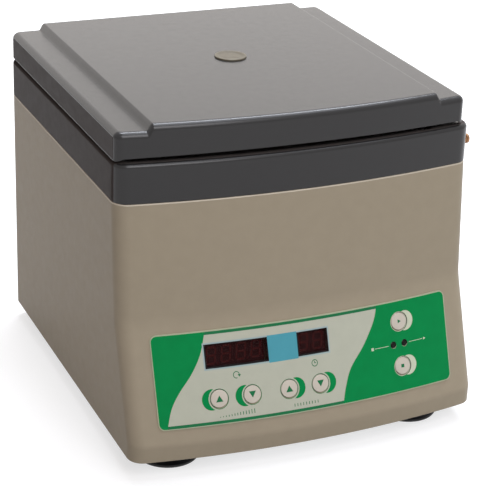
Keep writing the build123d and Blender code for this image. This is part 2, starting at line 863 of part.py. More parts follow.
def make_key(name):
    """Round key: cap through the panel, flange behind the wall and stem to its switch."""
    x, z = key_places[name]
    flange_z = -wall - seat_gap
    cap = Pos(0, 0, flange_z) * Cylinder(
        key_radius, overlay_thickness + key_proud - flange_z,
        align=(Align.CENTER, Align.CENTER, Align.MIN))
    cap = chamfer(cap.edges().group_by(Axis.Z)[-1], key_edge)
    flange = Pos(0, 0, flange_z - key_flange) * Cylinder(
        key_radius + key_flange_rim, key_flange, align=(Align.CENTER, Align.CENTER, Align.MIN))
    stem_low = -board_depth + sag(x) * cos(slope) + switch_height + key_travel + seat_gap
    stem = Pos(0, 0, stem_low) * Cylinder(
        key_stem_radius, flange_z - stem_low, align=(Align.CENTER, Align.CENTER, Align.MIN))
    return face_plane(x, z) * (cap + flange + stem)


def make_leds():
    """Two round lamps that stand on the board and show through the panel."""
    lamps = []
    for x in led_x:
        low = -board_depth + sag(x) * cos(slope) + seat_gap
        lens = Pos(0, 0, low) * Cylinder(
            led_radius, overlay_thickness - low, align=(Align.CENTER, Align.CENTER, Align.MIN))
        lens = chamfer(lens.edges().group_by(Axis.Z)[-1], led_chamfer)
        lamps.append(face_plane(x, led_row_z) * lens)
    return lamps


def make_control_board():
    board = Pos(0, 0, -board_depth - board_thickness) * Box(
        board_width, board_height, board_thickness, align=(Align.CENTER, Align.CENTER, Align.MIN))
    for x, rise in board_boss_places:
        board -= Pos(x, rise, -board_depth) * Cylinder(board_post_radius / 2, 4 * board_thickness)
    return panel_plane * board


def make_key_switches():
    """One push switch on the board behind each key."""
    body = Box(switch_size, switch_size, switch_height, align=(Align.CENTER, Align.CENTER, Align.MIN))
    body = chamfer(body.edges().filter_by(Axis.Z), switch_corner)
    return [panel_plane * Pos(x, panel_rise(x, z), -board_depth) * body
            for x, z in key_places.values()]


# ---------------------------------------------------------------- drive and rotor


def on_axis(solid):
    return Pos(0, rotor_y, 0) * solid


def quarter_turns(solid, index):
    return Rot(0, 0, 360 / bucket_count * index) * solid


def buffer_places():
    half = buffer_spacing / 2
    return [(sx * half, sy * half) for sx in (-1, 1) for sy in (-1, 1)]


def make_motor_plate():
    plate = Pos(0, 0, motor_plate_z) * Box(
        motor_plate_size, motor_plate_size, motor_plate_thickness,
        align=(Align.CENTER, Align.CENTER, Align.MIN))
    plate = fillet(plate.edges().filter_by(Axis.Z), motor_plate_corner)
    for x, y in buffer_places():
        plate -= rod(foot_screw_radius, motor_plate_thickness + 2 * past, (x, y, motor_plate_z - past))
    return on_axis(plate)


def make_buffers():
    """Waisted rubber buffers between the base and the motor plate."""
    waist = buffer_radius - buffer_waist
    profile = Polygon((0, 0), (buffer_radius, 0), (waist, buffer_height / 2),
                      (buffer_radius, buffer_height), (0, buffer_height), align=None)
    body = revolve(Plane.XZ * profile, Axis.Z)
    return [on_axis(Pos(x, y, base_thickness) * body) for x, y in buffer_places()]


def make_motor():
    """Motor housing: a finned can, hollow for its armature and two bearings."""
    can = rod(motor_radius, motor_height, (0, 0, motor_low_z))
    can = chamfer(can.edges().group_by(Axis.Z)[-1], motor_chamfer)
    bore_height = armature_height + 2 * bearing_room
    can -= rod(armature_radius + armature_gap, bore_height, (0, 0, motor_middle_z - bore_height / 2))
    shaft_room = motor_height - 2 * motor_wall
    can -= rod(bearing_radius, shaft_room, (0, 0, motor_low_z + motor_wall))
    can -= rod(shaft_radius + shaft_clearance, motor_height, (0, 0, motor_middle_z))
    for index in range(fin_count):
        z = motor_middle_z + (index - (fin_count - 1) / 2) * fin_pitch - fin_groove / 2
        can -= ring(motor_radius + past, motor_radius - fin_depth, fin_groove, (0, 0, z))
    return on_axis(can)


def make_bearings():
    """Two ball bearings, drawn as plain rings, in the ends of the motor's bore."""
    levels = (motor_low_z + motor_wall, motor_top_z - motor_wall - bearing_height)
    return [on_axis(ring(bearing_radius, shaft_radius + fit_gap, bearing_height, (0, 0, z)))
            for z in levels]


def make_armature():
    low = motor_middle_z - armature_height / 2
    return on_axis(ring(armature_radius, shaft_radius, armature_height, (0, 0, low)))


def make_shaft():
    """Motor shaft, stepped down to the rotor's seat and to its thread."""
    low = motor_low_z + motor_wall
    main = rod(shaft_radius, hub_low_z - low, (0, 0, low))
    seat_top = hub_low_z + hub_thickness - spigot_short
    seat = rod(spigot_radius, seat_top - hub_low_z, (0, 0, hub_low_z))
    return on_axis(main + seat + rod(thread_radius, thread_length, (0, 0, seat_top)))


def make_boot():
    """Rubber boot that seals the bowl's centre hole down to the motor."""
    seat_z = bowl_floor_z - bowl_wall
    bore = shaft_radius + shaft_clearance
    boot = ring(bowl_hole_radius + boot_wall, bore, seat_z - motor_top_z, (0, 0, motor_top_z))
    lip = ring(bowl_hole_radius - fit_gap, bore, bowl_wall + boot_lip, (0, 0, seat_z))
    return on_axis(boot + lip)


def arm_pair():
    """One angle of the yoke: the walls of two neighbouring arms, which meet at a corner."""
    inner = bucket_radius + bucket_gap
    z_range = (hub_low_z, arm_top_z)
    walls = block((inner, arm_reach), (inner, inner + arm_thickness), z_range)
    walls += block((inner, inner + arm_thickness), (inner, arm_reach), z_range)
    rise = hub_drop - arm_root_height
    under = Polygon((hub_radius + arm_root_gap, -past), (arm_reach + past, -past), (arm_reach + past, rise),
                    align=None)
    cut = extrude(Plane.XZ * Pos(0, hub_low_z) * under, amount=2 * arm_reach, both=True)
    return walls - cut - Rot(0, 0, 90) * cut


def make_yoke():
    """Four-place yoke: a hub with paired arms, and an open slot for each bucket's trunnion."""
    body = rod(hub_radius, hub_thickness, (0, 0, hub_low_z))
    for index in range(bucket_count):
        body += quarter_turns(arm_pair(), index)
    slot = trunnion_radius + fit_gap
    span = bucket_radius + bucket_gap + 2 * arm_thickness
    seat = Pos(pivot_radius, 0, pivot_z) * Rot(90, 0, 0) * Cylinder(slot, 2 * span)
    seat += block((pivot_radius - slot, pivot_radius + slot), (-span, span), (pivot_z, arm_top_z + past))
    for index in range(bucket_count):
        body -= quarter_turns(seat, index)
    body -= rod(spigot_radius + fit_gap, hub_thickness + 2 * past, (0, 0, hub_low_z - past))
    return on_axis(body)


def make_rotor_nut():
    """Nut that clamps the yoke, a hexagon on a round collar."""
    low = hub_low_z + hub_thickness
    hexagon = Pos(0, 0, low + nut_collar_height) * RegularPolygon(rotor_nut_radius, 6)
    nut = rod(nut_collar_radius, nut_collar_height, (0, 0, low)) + extrude(hexagon, amount=rotor_nut_height)
    bore_height = nut_collar_height + rotor_nut_height + 2 * past
    return on_axis(nut - rod(thread_radius + fit_gap, bore_height, (0, 0, low - past)))


bucket_low_z = pivot_z - bucket_below_pivot
bucket_rim_z = pivot_z + bucket_above_pivot
bucket_bore = bucket_radius - bucket_band - bucket_wall


def make_bucket(index):
    """Round bucket with a stiff band at its rim and two trunnions that rest in the yoke."""
    height = bucket_rim_z - bucket_low_z
    shell = rod(bucket_radius - bucket_band, height, (0, 0, bucket_low_z))
    shell = chamfer(shell.edges().group_by(Axis.Z)[0], bucket_foot_chamfer)
    shell += rod(bucket_radius, bucket_band_height, (0, 0, bucket_rim_z - bucket_band_height))
    stub_length = 2 * (bucket_radius + bucket_gap + arm_thickness)
    shell += Pos(0, 0, pivot_z) * Rot(90, 0, 0) * Cylinder(trunnion_radius, stub_length)
    shell -= rod(bucket_bore, height, (0, 0, bucket_low_z + bucket_floor))
    return on_axis(quarter_turns(Pos(pivot_radius, 0, 0) * shell, index))


def make_cushion(index):
    """Rubber pad in the foot of a bucket."""
    pad = rod(bucket_bore - fit_gap, cushion_thickness, (0, 0, bucket_low_z + bucket_floor))
    return on_axis(quarter_turns(Pos(pivot_radius, 0, 0) * pad, index))


# ---------------------------------------------------------------- lid lock

pin_start_x = half_width - pin_inside
solenoid_right = half_width - wall - solenoid_gap
solenoid_x_range = (solenoid_right - solenoid_length, solenoid_right)
solenoid_y_range = (lock_y - solenoid_size / 2, lock_y + solenoid_size / 2)


def make_bolt():
    """Steel bolt of the lock, which runs through the solenoid."""
    bolt = rod(bolt_radius, pin_start_x - bolt_tip_x, (bolt_tip_x, lock_y, lock_z), (0, 90, 0))
    return chamfer(bolt.edges().group_by(Axis.X)[0], bolt_chamfer)


def make_release_pin():
    """Brass end of the bolt, which stands out of the cover's right side."""
    pin = rod(pin_radius, pin_inside + pin_reach, (pin_start_x, lock_y, lock_z), (0, 90, 0))
    return chamfer(pin.edges().group_by(Axis.X)[-1], pin_chamfer)


def make_solenoid():
    half = solenoid_size / 2
    body = block(solenoid_x_range, solenoid_y_range, (lock_z - half, lock_z + half))
    body = chamfer(body.edges().filter_by(Axis.X), solenoid_chamfer)
    start = (solenoid_x_range[0] - past, lock_y, lock_z)
    return body - rod(bolt_radius + seat_gap, solenoid_length + 2 * past, start, (0, 90, 0))


def make_solenoid_bracket():
    """Folded steel hanger between the cover's top wall and the solenoid."""
    low, high = lock_z + solenoid_size / 2, cover_top_z - wall
    hanger = block(solenoid_x_range, solenoid_y_range, (low, high))
    inner_x = (solenoid_x_range[0] + bracket_thickness, solenoid_x_range[1] + past)
    inner_z = (low + bracket_thickness, high - bracket_thickness)
    return hanger - block(inner_x, (solenoid_y_range[0] - past, solenoid_y_range[1] + past), inner_z)


# ---------------------------------------------------------------- rear fittings


def make_inlet():
    """Three-pole appliance inlet: a flange outside, and a recess with two cut corners."""
    low, high = rear_fitting_z - inlet_half_z, rear_fitting_z + inlet_half_z
    flange_x = inlet_half_x + inlet_flange
    recess_x = inlet_half_x - inlet_side_wall
    flange = block((inlet_x - flange_x, inlet_x + flange_x), (rear_y, rear_y + inlet_flange),
                   (low - inlet_flange, high + inlet_flange))
    flange = fillet(flange.edges().filter_by(Axis.Y), inlet_corner)
    body = block((inlet_x - inlet_half_x, inlet_x + inlet_half_x),
                 (rear_y - inlet_recess - inlet_back, rear_y + past), (low, high))
    recess = block((inlet_x - recess_x, inlet_x + recess_x),
                   (rear_y - inlet_recess, rear_y + inlet_flange + past),
                   (low + inlet_end_wall, high - inlet_end_wall))
    recess = chamfer(recess.edges().filter_by(Axis.Y).group_by(Axis.Z)[-1], inlet_chamfer)
    return flange + body - recess


def make_inlet_pins():
    half_x, half_z = inlet_pin_half
    return [block((inlet_x + dx - half_x, inlet_x + dx + half_x),
                  (rear_y - inlet_recess, rear_y - inlet_pin_setback),
                  (rear_fitting_z + dz - half_z, rear_fitting_z + dz + half_z))
            for dx, dz in inlet_pin_places]


def make_fuse_holder():
    """Round fuse carrier with a slotted cap."""
    flange_y = rear_y + fuse_flange_thickness
    cap_y = flange_y + fuse_cap_height
    turn = (90, 0, 0)
    holder = rod(fuse_radius, fuse_length, (fuse_x, rear_y + fuse_root, rear_fitting_z), turn)
    flange_start = (fuse_x, flange_y, rear_fitting_z)
    holder += rod(fuse_radius + fuse_flange, fuse_flange_thickness, flange_start, turn)
    cap = rod(fuse_radius + fuse_cap_rim, fuse_cap_height, (fuse_x, cap_y, rear_fitting_z), turn)
    cap = chamfer(cap.edges().group_by(Axis.Y)[-1], fuse_cap_chamfer)
    slot = block((fuse_x - fuse_slot_width / 2, fuse_x + fuse_slot_width / 2),
                 (cap_y - fuse_slot_depth, cap_y + past),
                 (rear_fitting_z - fuse_radius, rear_fitting_z + fuse_radius))
    return holder + cap - slot


rocker_y = rear_y - rocker_setback


def make_switch_frame():
    low, high = rear_fitting_z - switch_half_z, rear_fitting_z + switch_half_z
    flange_x = switch_half_x + switch_flange[0]
    flange = block((switch_x - flange_x, switch_x + flange_x), (rear_y, rear_y + switch_flange_thickness),
                   (low - switch_flange[1], high + switch_flange[1]))
    flange = fillet(flange.edges().filter_by(Axis.Y), switch_flange_corner)
    body = block((switch_x - switch_half_x, switch_x + switch_half_x),
                 (rocker_y - rocker_radius - switch_back, rear_y + past), (low, high))
    half_x = rocker_width / 2 + seat_gap
    pocket = block((switch_x - half_x, switch_x + half_x),
                   (rocker_y - rocker_radius - rocker_room, rear_y + switch_flange_thickness + past),
                   (rear_fitting_z - rocker_radius - seat_gap, rear_fitting_z + rocker_radius + seat_gap))
    return flange + body - pocket


def make_rocker():
    """Drum whose outer side has two faces in a shallow V; it rests with its upper end in."""
    drum = Rot(0, 90, 0) * Cylinder(rocker_radius, rocker_width)
    away = 3 * rocker_radius
    climb = away * sin(radians(rocker_tilt))
    valley = rocker_radius * rocker_valley
    wedge = Polygon((valley, 0), (valley + climb, away), (away, away), (away, -away),
                    (valley + climb, -away), align=None)
    drum -= extrude(Plane.YZ * wedge, amount=rocker_width, both=True)
    return Pos(switch_x, rocker_y, rear_fitting_z) * Rot(rocker_tilt, 0, 0) * drum


# ---------------------------------------------------------------- power supply


def standing(length, width, height, x, y, z):
    return Pos(x, y, z) * Box(length, width, height, align=(Align.CENTER, Align.CENTER, Align.MIN))


def make_transformer():
    """Laminated core with its winding, standing on the base."""
    core = standing(core_length, core_width, core_height, transformer_x, transformer_y, base_thickness)
    coil = standing(coil_length, coil_width, core_height - 2 * core_limb,
                    transformer_x, transformer_y, base_thickness + core_limb)
    return core + fillet(coil.edges().filter_by(Axis.Z), coil_corner)


def make_drive_board():
    """Motor drive: a board on four standoffs, with a heat sink and three capacitors."""
    low = base_thickness + standoff_height
    top = low + board_thickness
    half_x, half_y = drive_board_width / 2, drive_board_length / 2
    board = standing(drive_board_width, drive_board_length, board_thickness, 0, 0, low)
    board += standing(sink_width, sink_length, sink_height, half_x - sink_width, 0, top)
    for sx in (-1, 1):
        for sy in (-1, 1):
            corner = (sx * (half_x - board_edge), sy * (half_y - board_edge), base_thickness)
            board += rod(standoff_radius, standoff_height, corner)
    for row in (-1, 0, 1):
        board += rod(capacitor_radius, capacitor_height,
                     (2 * capacitor_radius - half_x, row * capacitor_pitch, top))
    return Pos(drive_board_x, drive_board_y, 0) * board


# ---------------------------------------------------------------- export

front_limit = apex_y - panel_reach
rear_limit = hinge_y + hinge_radius
row_shift = Pos(-pin_reach / 2, -(front_limit + rear_limit) / 2, foot_height)

nodes = {
    "cabinet_shell": make_cabinet(),
    "base_plate": make_base(),
    "feet": make_feet(),
    "foot_screws": make_foot_screws(),
    "base_screws": make_base_screws(),
    "top_cover": make_cover(),
    "chamber_bowl": make_bowl(),
    "chamber_gasket": make_gasket(),
    "lid_shell": make_lid(),
    "lid_liner": make_liner(),
    "lid_port": make_port(),
    "liner_screws": make_liner_screws(),
    "lid_striker": make_striker(),
    "hinge_plates": [make_hinge_plate(-hinge_x), make_hinge_plate(hinge_x)],
    "hinge_arms": [make_hinge_arm(-hinge_x), make_hinge_arm(hinge_x)],
    "hinge_pins": make_hinge_pins(),
    "hinge_screws": make_hinge_screws(),
    "arm_screws": make_arm_screws(),
    "control_overlay": make_overlay(),
    "speed_window": make_window("speed"),
    "time_window": make_window("time"),
    "speed_display": make_display("speed", 4),
    "time_display": make_display("time", 2),
    "status_leds": make_leds(),
    "control_board": make_control_board(),
    "key_switches": make_key_switches(),
    "motor_plate": make_motor_plate(),
    "motor_buffers": make_buffers(),
    "motor_housing": make_motor(),
    "motor_bearings": make_bearings(),
    "motor_armature": make_armature(),
    "motor_shaft": make_shaft(),
    "shaft_boot": make_boot(),
    "rotor_yoke": make_yoke(),
    "rotor_nut": make_rotor_nut(),
    "lock_bolt": make_bolt(),
    "release_pin": make_release_pin(),
    "lock_solenoid": make_solenoid(),
    "solenoid_bracket": make_solenoid_bracket(),
    "mains_inlet": make_inlet(),
    "inlet_pins": make_inlet_pins(),
    "fuse_holder": make_fuse_holder(),
    "switch_frame": make_switch_frame(),
    "power_rocker": make_rocker(),
    "transformer": make_transformer(),
    "drive_board": make_drive_board(),
}
for name in key_places:
    nodes["key_" + name] = make_key(name)
for index in range(bucket_count):
    nodes[f"bucket_{index + 1}"] = make_bucket(index)
    nodes[f"bucket_cushion_{index + 1}"] = make_cushion(index)

for name, shape in nodes.items():
    pieces = shape if isinstance(shape, list) else [shape]
    solids = [row_shift * solid for piece in pieces for solid in piece.solids()]
    export_step(Compound(solids), f"parts/{name}.step")
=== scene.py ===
import json
from functools import partial
from math import atan2, copysign, cos, pi, radians, sin, sqrt, tan

import bmesh
import bpy
from mathutils import Matrix, Vector
from mathutils.geometry import delaunay_2d_cdt


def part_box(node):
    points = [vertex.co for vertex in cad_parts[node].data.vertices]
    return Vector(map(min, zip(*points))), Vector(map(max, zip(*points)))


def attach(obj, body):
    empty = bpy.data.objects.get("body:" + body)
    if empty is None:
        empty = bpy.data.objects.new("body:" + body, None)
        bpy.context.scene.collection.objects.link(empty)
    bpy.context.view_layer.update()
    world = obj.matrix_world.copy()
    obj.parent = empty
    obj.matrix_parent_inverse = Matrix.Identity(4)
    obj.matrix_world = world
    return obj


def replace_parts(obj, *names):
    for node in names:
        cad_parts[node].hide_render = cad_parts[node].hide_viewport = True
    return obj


# Looks of a benchtop laboratory centrifuge, in metres. Shapes are worked out in the machine's own
# frame, whose origin is under the middle of the cabinet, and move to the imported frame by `origin`.

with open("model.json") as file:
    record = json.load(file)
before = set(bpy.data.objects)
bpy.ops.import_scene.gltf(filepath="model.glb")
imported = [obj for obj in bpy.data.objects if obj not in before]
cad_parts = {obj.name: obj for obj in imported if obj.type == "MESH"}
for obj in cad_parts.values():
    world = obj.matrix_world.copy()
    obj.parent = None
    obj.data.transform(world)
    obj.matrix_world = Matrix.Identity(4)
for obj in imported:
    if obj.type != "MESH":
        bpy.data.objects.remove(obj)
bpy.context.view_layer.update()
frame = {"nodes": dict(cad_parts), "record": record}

# ---------------------------------------------------------------- sizes

# cabinet
upper_bend = 0.1039
lower_bend = 0.0138
upper_lean = 0.0076
panel_reach = 0.0397
front_bow = 0.0134
corner_radius = 0.013
corner_steps = 8
wall = 0.003
upper_soft = 0.006
lower_soft = 0.0022
seam_edge = 0.001
station_margin = 0.002
station_steps = 64
past = 0.01

# rear wall
vent_count = 8
vent_pitch = 0.008
vent_length, vent_height = 0.07, 0.0032
vent_x, vent_z = -0.07, 0.06
rear_rim = 0.0022
rear_past = 0.002

# cover and gasket
# faces turned sideways past this limit get painted shade: a matt, brownish copy of the grey plastic
shaded_side_limit = 0.97
# the cover's ledge beside the lid gets painted shade: a matt copy of its plastic in another tone, for the
# shaded gap under the lid
shaded_ledge_limit = 0.3
level_limit = 0.95
ledge_width = 0.007
cover_edge = 0.0038
mouth_radius = 0.112
mouth_edge = 0.0008
side_steps = 48
rotor_setback = 0.006
slot_offset = 0.00125
slot_across, slot_deep = 0.004, 0.0124
slot_floor, slot_past = 0.008, 0.002
pin_hole_radius = 0.0043
gasket_lap = 0.002
bead_foot = 0.35
gasket_steps = 160

# lid and port
lid_edge = 0.0052
lid_rim = 0.001
lid_corner = 0.0075
lid_front_setback = 0.0008
lid_side_height = 0.0191
lid_side_drop = 0.0036
lid_front_drop, lid_end_drop = 0.0002, 0.0011
lid_panel_half = 0.1186
ramp_run = 0.0024
ramp_soft = 0.0014
ramp_steps, middle_steps = 16, 60
port_hole_radius = 0.01115
port_neck = 0.011
port_hole_reach = 0.03
port_edge = (0.0003, 0.0006)
port_dish = [(0.0022, 0.0), (0.0028, 0.00035), (0.0055, 0.0005)]
port_middle = 0.0003

# panel film and windows
film_width = 0.2555
film_height = 0.0697
film_middle = 0.0603
film_corner = 0.005
film_thickness = 0.0008
film_border = 0.0007
band_height = 0.0022
band_lap = 0.002
pane_edge = 0.0013
pane_rim = 0.0005
window_room = 0.0025
window_haze = 0.0011
window_height = 0.018
window_middle = 0.0762
windows = {"speed": (-0.06075, 0.0519, 4), "time": (0.0033, 0.0266, 2)}
blue_low, blue_high = 0.0659, 0.0861

# keys and lamps
key_radius = 0.007
key_gap = 0.0003
key_top = 0.0013
key_foot = -0.0033
key_soft = 0.0006
key_crown = 0.00003
key_row = 0.0444
start_row, stop_row = 0.079, 0.0448
arrow_keys = {"speed_up": -0.0782, "speed_down": -0.0512, "time_up": -0.0204, "time_down": 0.0065}
action_x = 0.0818
arrow_width = 0.0058
arrow_height = 0.0052
start_mark = [(-0.0011, -0.0016), (0.0019, 0), (-0.0011, 0.0016)]
sign_half = 0.0014
print_root = 0.0002
print_lift = 0.00006
bore_reach = 0.02
lamp_radius = 0.0025
lamp_foot = -0.004
lamp_collar, lamp_bowl = 0.8, 0.4
lamp_lip, lamp_groove = 0.9, 0.82
lamp_row = 0.062
lamp_x = (0.0752, 0.0857)

# digits
panel_centre = 0.0597
display_gap = 0.0003
display_margin = 0.0016
digit_depth = 0.0004
digit_height = 0.0125
digit_width = 0.0072
digit_stroke = 0.0015
digit_relief = 0.0002
digit_lean = radians(8)
segment_gap = 0.0006
dot_offset = 0.0018
dot_radius = 0.0008

# feet, release pin and screw heads
foot_radius = 0.026
foot_neck = 0.014
foot_neck_height = 0.004
foot_neck_soft = 0.0006
foot_flare = 1.7
foot_rim_height = 0.0065
foot_rim_edge = (0.0008, 0.0012)
foot_ring_width = 0.004
foot_hollow = 0.0035
pin_soft = 0.0013
pin_groove = ((0.0056, 0.0), (0.006, 0.0004), (0.0064, 0.0))
head_height = 0.002
head_profile = ((1.0, 0.0), (1.0, 0.45), (0.93, 0.75), (0.78, 0.94), (0.6, 1.0))
recess_profile = ((1.0, 1.0), (0.72, 0.45), (0.05, 0.285))
recess_reach, recess_waist, recess_power = 0.52, 0.3, 9

# camera, recovered from the edges of the cabinet
view_place = Vector((-0.53567, -1.20879, 0.69343))
view_azimuth = radians(-23.972)
view_elevation = radians(23.63)
view_roll = radians(2.12)
view_lens = 125.16

# ---------------------------------------------------------------- places from the frame

cabinet_low, cabinet_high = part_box("cabinet_shell")
half_width = (cabinet_high.x - cabinet_low.x) / 2
cabinet_top = cabinet_high.z - cabinet_low.z
rear = (cabinet_high.y - cabinet_low.y - panel_reach - front_bow) / 2
origin = Vector((cabinet_low.x + half_width, cabinet_high.y - rear, cabinet_low.z))
apex = -rear - front_bow
bow_radius = (half_width**2 + front_bow**2) / (2 * front_bow)
panel_slope = (panel_reach - upper_lean) / (upper_bend - lower_bend)
panel_angle = atan2(panel_slope, 1)
rotor_centre = Vector((0, -rotor_setback))


def local_box(node):
    low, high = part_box(node)
    return low - origin, high - origin


def node_middle(node):
    return sum(local_box(node), Vector((0, 0, 0))) / 2


cover_top = local_box("top_cover")[1].z
lid_low, lid_high = local_box("lid_shell")
lid_middle = (lid_low.x + lid_high.x) / 2
lid_side = lid_low.z + lid_side_height
film_left, film_right = -film_width / 2, film_width / 2
film_low, film_high = film_middle - film_height / 2, film_middle + film_height / 2
key_places = {name: (x, key_row) for name, x in arrow_keys.items()}
key_places.update(start=(action_x, start_row), stop=(action_x, stop_row))


def spread(start, end, steps):
    """Evenly spaced values from start to end, both included."""
    return [start + (end - start) * index / steps for index in range(steps + 1)]


def sag(x, bow=bow_radius):
    return bow - sqrt(bow**2 - x**2)


def softened(offset, reach, change):
    """What a rounded bend adds to two straight slopes that meet at offset 0."""
    return change * (reach - abs(offset))**2 / (4 * reach) if abs(offset) < reach else 0.0


def front_shift(z):
    """How far the front stands forward of its upper edge at height z, bends rounded."""
    lean = upper_lean / (cabinet_top - upper_bend)
    if z >= upper_bend:
        shift = lean * (cabinet_top - z)
    else:
        shift = upper_lean + panel_slope * min(upper_bend - z, upper_bend - lower_bend)
    shift += softened(z - upper_bend, upper_soft, panel_slope - lean)
    return shift - softened(z - lower_bend, lower_soft, panel_slope)


def front_point(x, z, lift=0.0):
    """Point of the sloping front at x and height z, lifted forward."""
    return Vector((x, apex - front_shift(z) + sag(x) - lift / cos(panel_angle), z))


def frame_at(place, across, up, outward):
    """Frame at a place with its axes along three directions."""
    return Matrix.Translation(place) @ Matrix((across, up, outward)).transposed().to_4x4()


def face_frame(x, z):
    """Axes of the sloping face at x and z: across, up the slope, and outward."""
    outward = Vector((x / sqrt(bow_radius**2 - x**2), -1, panel_slope)).normalized()
    across = Vector((1, 0, 0)) - outward * outward.x
    across.normalize()
    return frame_at(front_point(x, z), across, outward.cross(across), outward)


# ---------------------------------------------------------------- materials

fleck_size, fleck_tone = 0.0012, 0.4
fleck_limits = (0.62, 0.72)
worn_share, worn_least, worn_patch = 0.35, 0.2, 0.004
worn_limits = (0.56, 0.63)


def linear(colour):
    """Scene-linear colour of an sRGB colour written in 0 to 255."""
    parts = [value / 255 for value in colour]
    return [value / 12.92 if value <= 0.04045 else ((value + 0.055) / 1.055)**2.4 for value in parts]


def feed(tree, node, inputs):
    """Gives inputs of a node, by name or number, a value or a link from another node."""
    for socket, value in inputs.items():
        if isinstance(value, bpy.types.NodeSocket):
            tree.links.new(value, node.inputs[socket])
        else:
            node.inputs[socket].default_value = value


def add_node(tree, kind, inputs=None, **settings):
    made = tree.nodes.new(kind)
    for name, value in settings.items():
        setattr(made, name, value)
    feed(tree, made, inputs or {})
    return made


class Finish:
    """The nodes of one procedural material, over the object's own coordinates."""

    def __init__(self, name):
        self.material = bpy.data.materials.new(name)
        self.material.use_nodes = True
        self.tree = self.material.node_tree
        self.place = self.node("ShaderNodeTexCoord", {}).outputs["Object"]

    def node(self, kind, inputs, **settings):
        return add_node(self.tree, kind, inputs, **settings)

    def stretch(self, scale):
        """Squeezes the coordinates along the grain of a brushed or drawn surface."""
        self.place = self.node("ShaderNodeMapping", {"Scale": scale, "Vector": self.place}).outputs[0]

    def turn(self, centre):
        """Makes the coordinates radius and height about an upright axis, as on a lathe."""
        offset = self.node("ShaderNodeVectorMath", {0: self.place, 1: centre}, operation="SUBTRACT")
        parts = self.node("ShaderNodeSeparateXYZ", {0: offset.outputs[0]})
        level = self.node("ShaderNodeCombineXYZ", {"X": parts.outputs["X"], "Y": parts.outputs["Y"]})
        radius = self.node("ShaderNodeVectorMath", {0: level.outputs[0]}, operation="LENGTH").outputs["Value"]
        polar = self.node("ShaderNodeCombineXYZ", {"X": radius, "Z": parts.outputs["Z"]})
        self.place = polar.outputs[0]

    def noise(self, size, detail):
        inputs = {"Scale": 1 / size, "Detail": detail, "Vector": self.place}
        return self.node("ShaderNodeTexNoise", inputs).outputs["Fac"]

    def ranged(self, source, low, high, start=0.3, end=0.7):
        inputs = {"Value": source, "From Min": start, "From Max": end, "To Min": low, "To Max": high}
        return self.node("ShaderNodeMapRange", inputs).outputs["Result"]

    def mixed(self, factor, first, second):
        """Colour between two, each a colour or another node's output."""
        first, second = (value if isinstance(value, bpy.types.NodeSocket) else (*value, 1)
                         for value in (first, second))
        return self.node("ShaderNodeMix", {0: factor, 6: first, 7: second}, data_type="RGBA").outputs[2]

    def colour(self, tone, variation, patch, speck):
        """Base colour with soft patches and, if asked, fine dark specks."""
        base = linear(tone)
        darker = [value * (1 - variation) for value in base]
        lighter = [min(value * (1 + variation), 1.0) for value in base]
        mottled = self.mixed(self.ranged(self.noise(patch, 3.0), 0, 1), darker, lighter)
        if not speck:
            return mottled
        fleck = self.ranged(self.noise(fleck_size, 1.0), 0, speck, *fleck_limits)
        return self.mixed(fleck, mottled, [value * fleck_tone for value in base])

    def worn(self, base, tone):
        """The base colour, paler where sharp edges are rubbed."""
        edges = self.node("ShaderNodeNewGeometry", {}).outputs["Pointiness"]
        inputs = {0: self.ranged(edges, 0, worn_share, *worn_limits),
                  1: self.ranged(self.noise(worn_patch, 3.0), worn_least, 1)}
        rubbed = self.node("ShaderNodeMath", inputs, operation="MULTIPLY").outputs[0]
        return self.mixed(rubbed, base, linear(tone))


def plastic(name, tone, low=0.3, high=0.42, grain=0.0007, depth=0.00001, variation=0.02, patch=0.01,
            drift=0.006, detail=2.0, speck=0.0, rub=None, stretch=None, centre=None,
            metallic=0.0, specular=0.4, alpha=1.0):
    """Mottled colour, roughness that drifts from low to high, and fine grain; edges rubbed if asked."""
    finish = Finish(name)
    if stretch:
        finish.stretch(stretch)
    if centre:
        finish.turn(centre)
    base = finish.colour(tone, variation, patch, speck)
    relief = {"Distance": depth, "Strength": 1.0, "Height": finish.noise(grain, detail)}
    feed(finish.tree, finish.tree.nodes["Principled BSDF"], {
        "Base Color": finish.worn(base, rub) if rub else base, "Metallic": metallic, "Alpha": alpha,
        "Roughness": finish.ranged(finish.noise(drift, 4.0), low, high), "Specular IOR Level": specular,
        "Normal": finish.node("ShaderNodeBump", relief).outputs["Normal"]})
    return finish.material


metal = partial(plastic, metallic=1.0, specular=0.5, variation=0.08, patch=0.012, drift=0.002, detail=3.0,
                grain=0.0006, depth=0.000008)
rubber = partial(plastic, specular=0.35, variation=0.25, patch=0.015, drift=0.02, speck=0.3,
                 grain=0.0009, depth=0.00003)
ink = partial(plastic, specular=0.09, drift=0.008, speck=0.03, grain=0.0005, depth=0.000006)


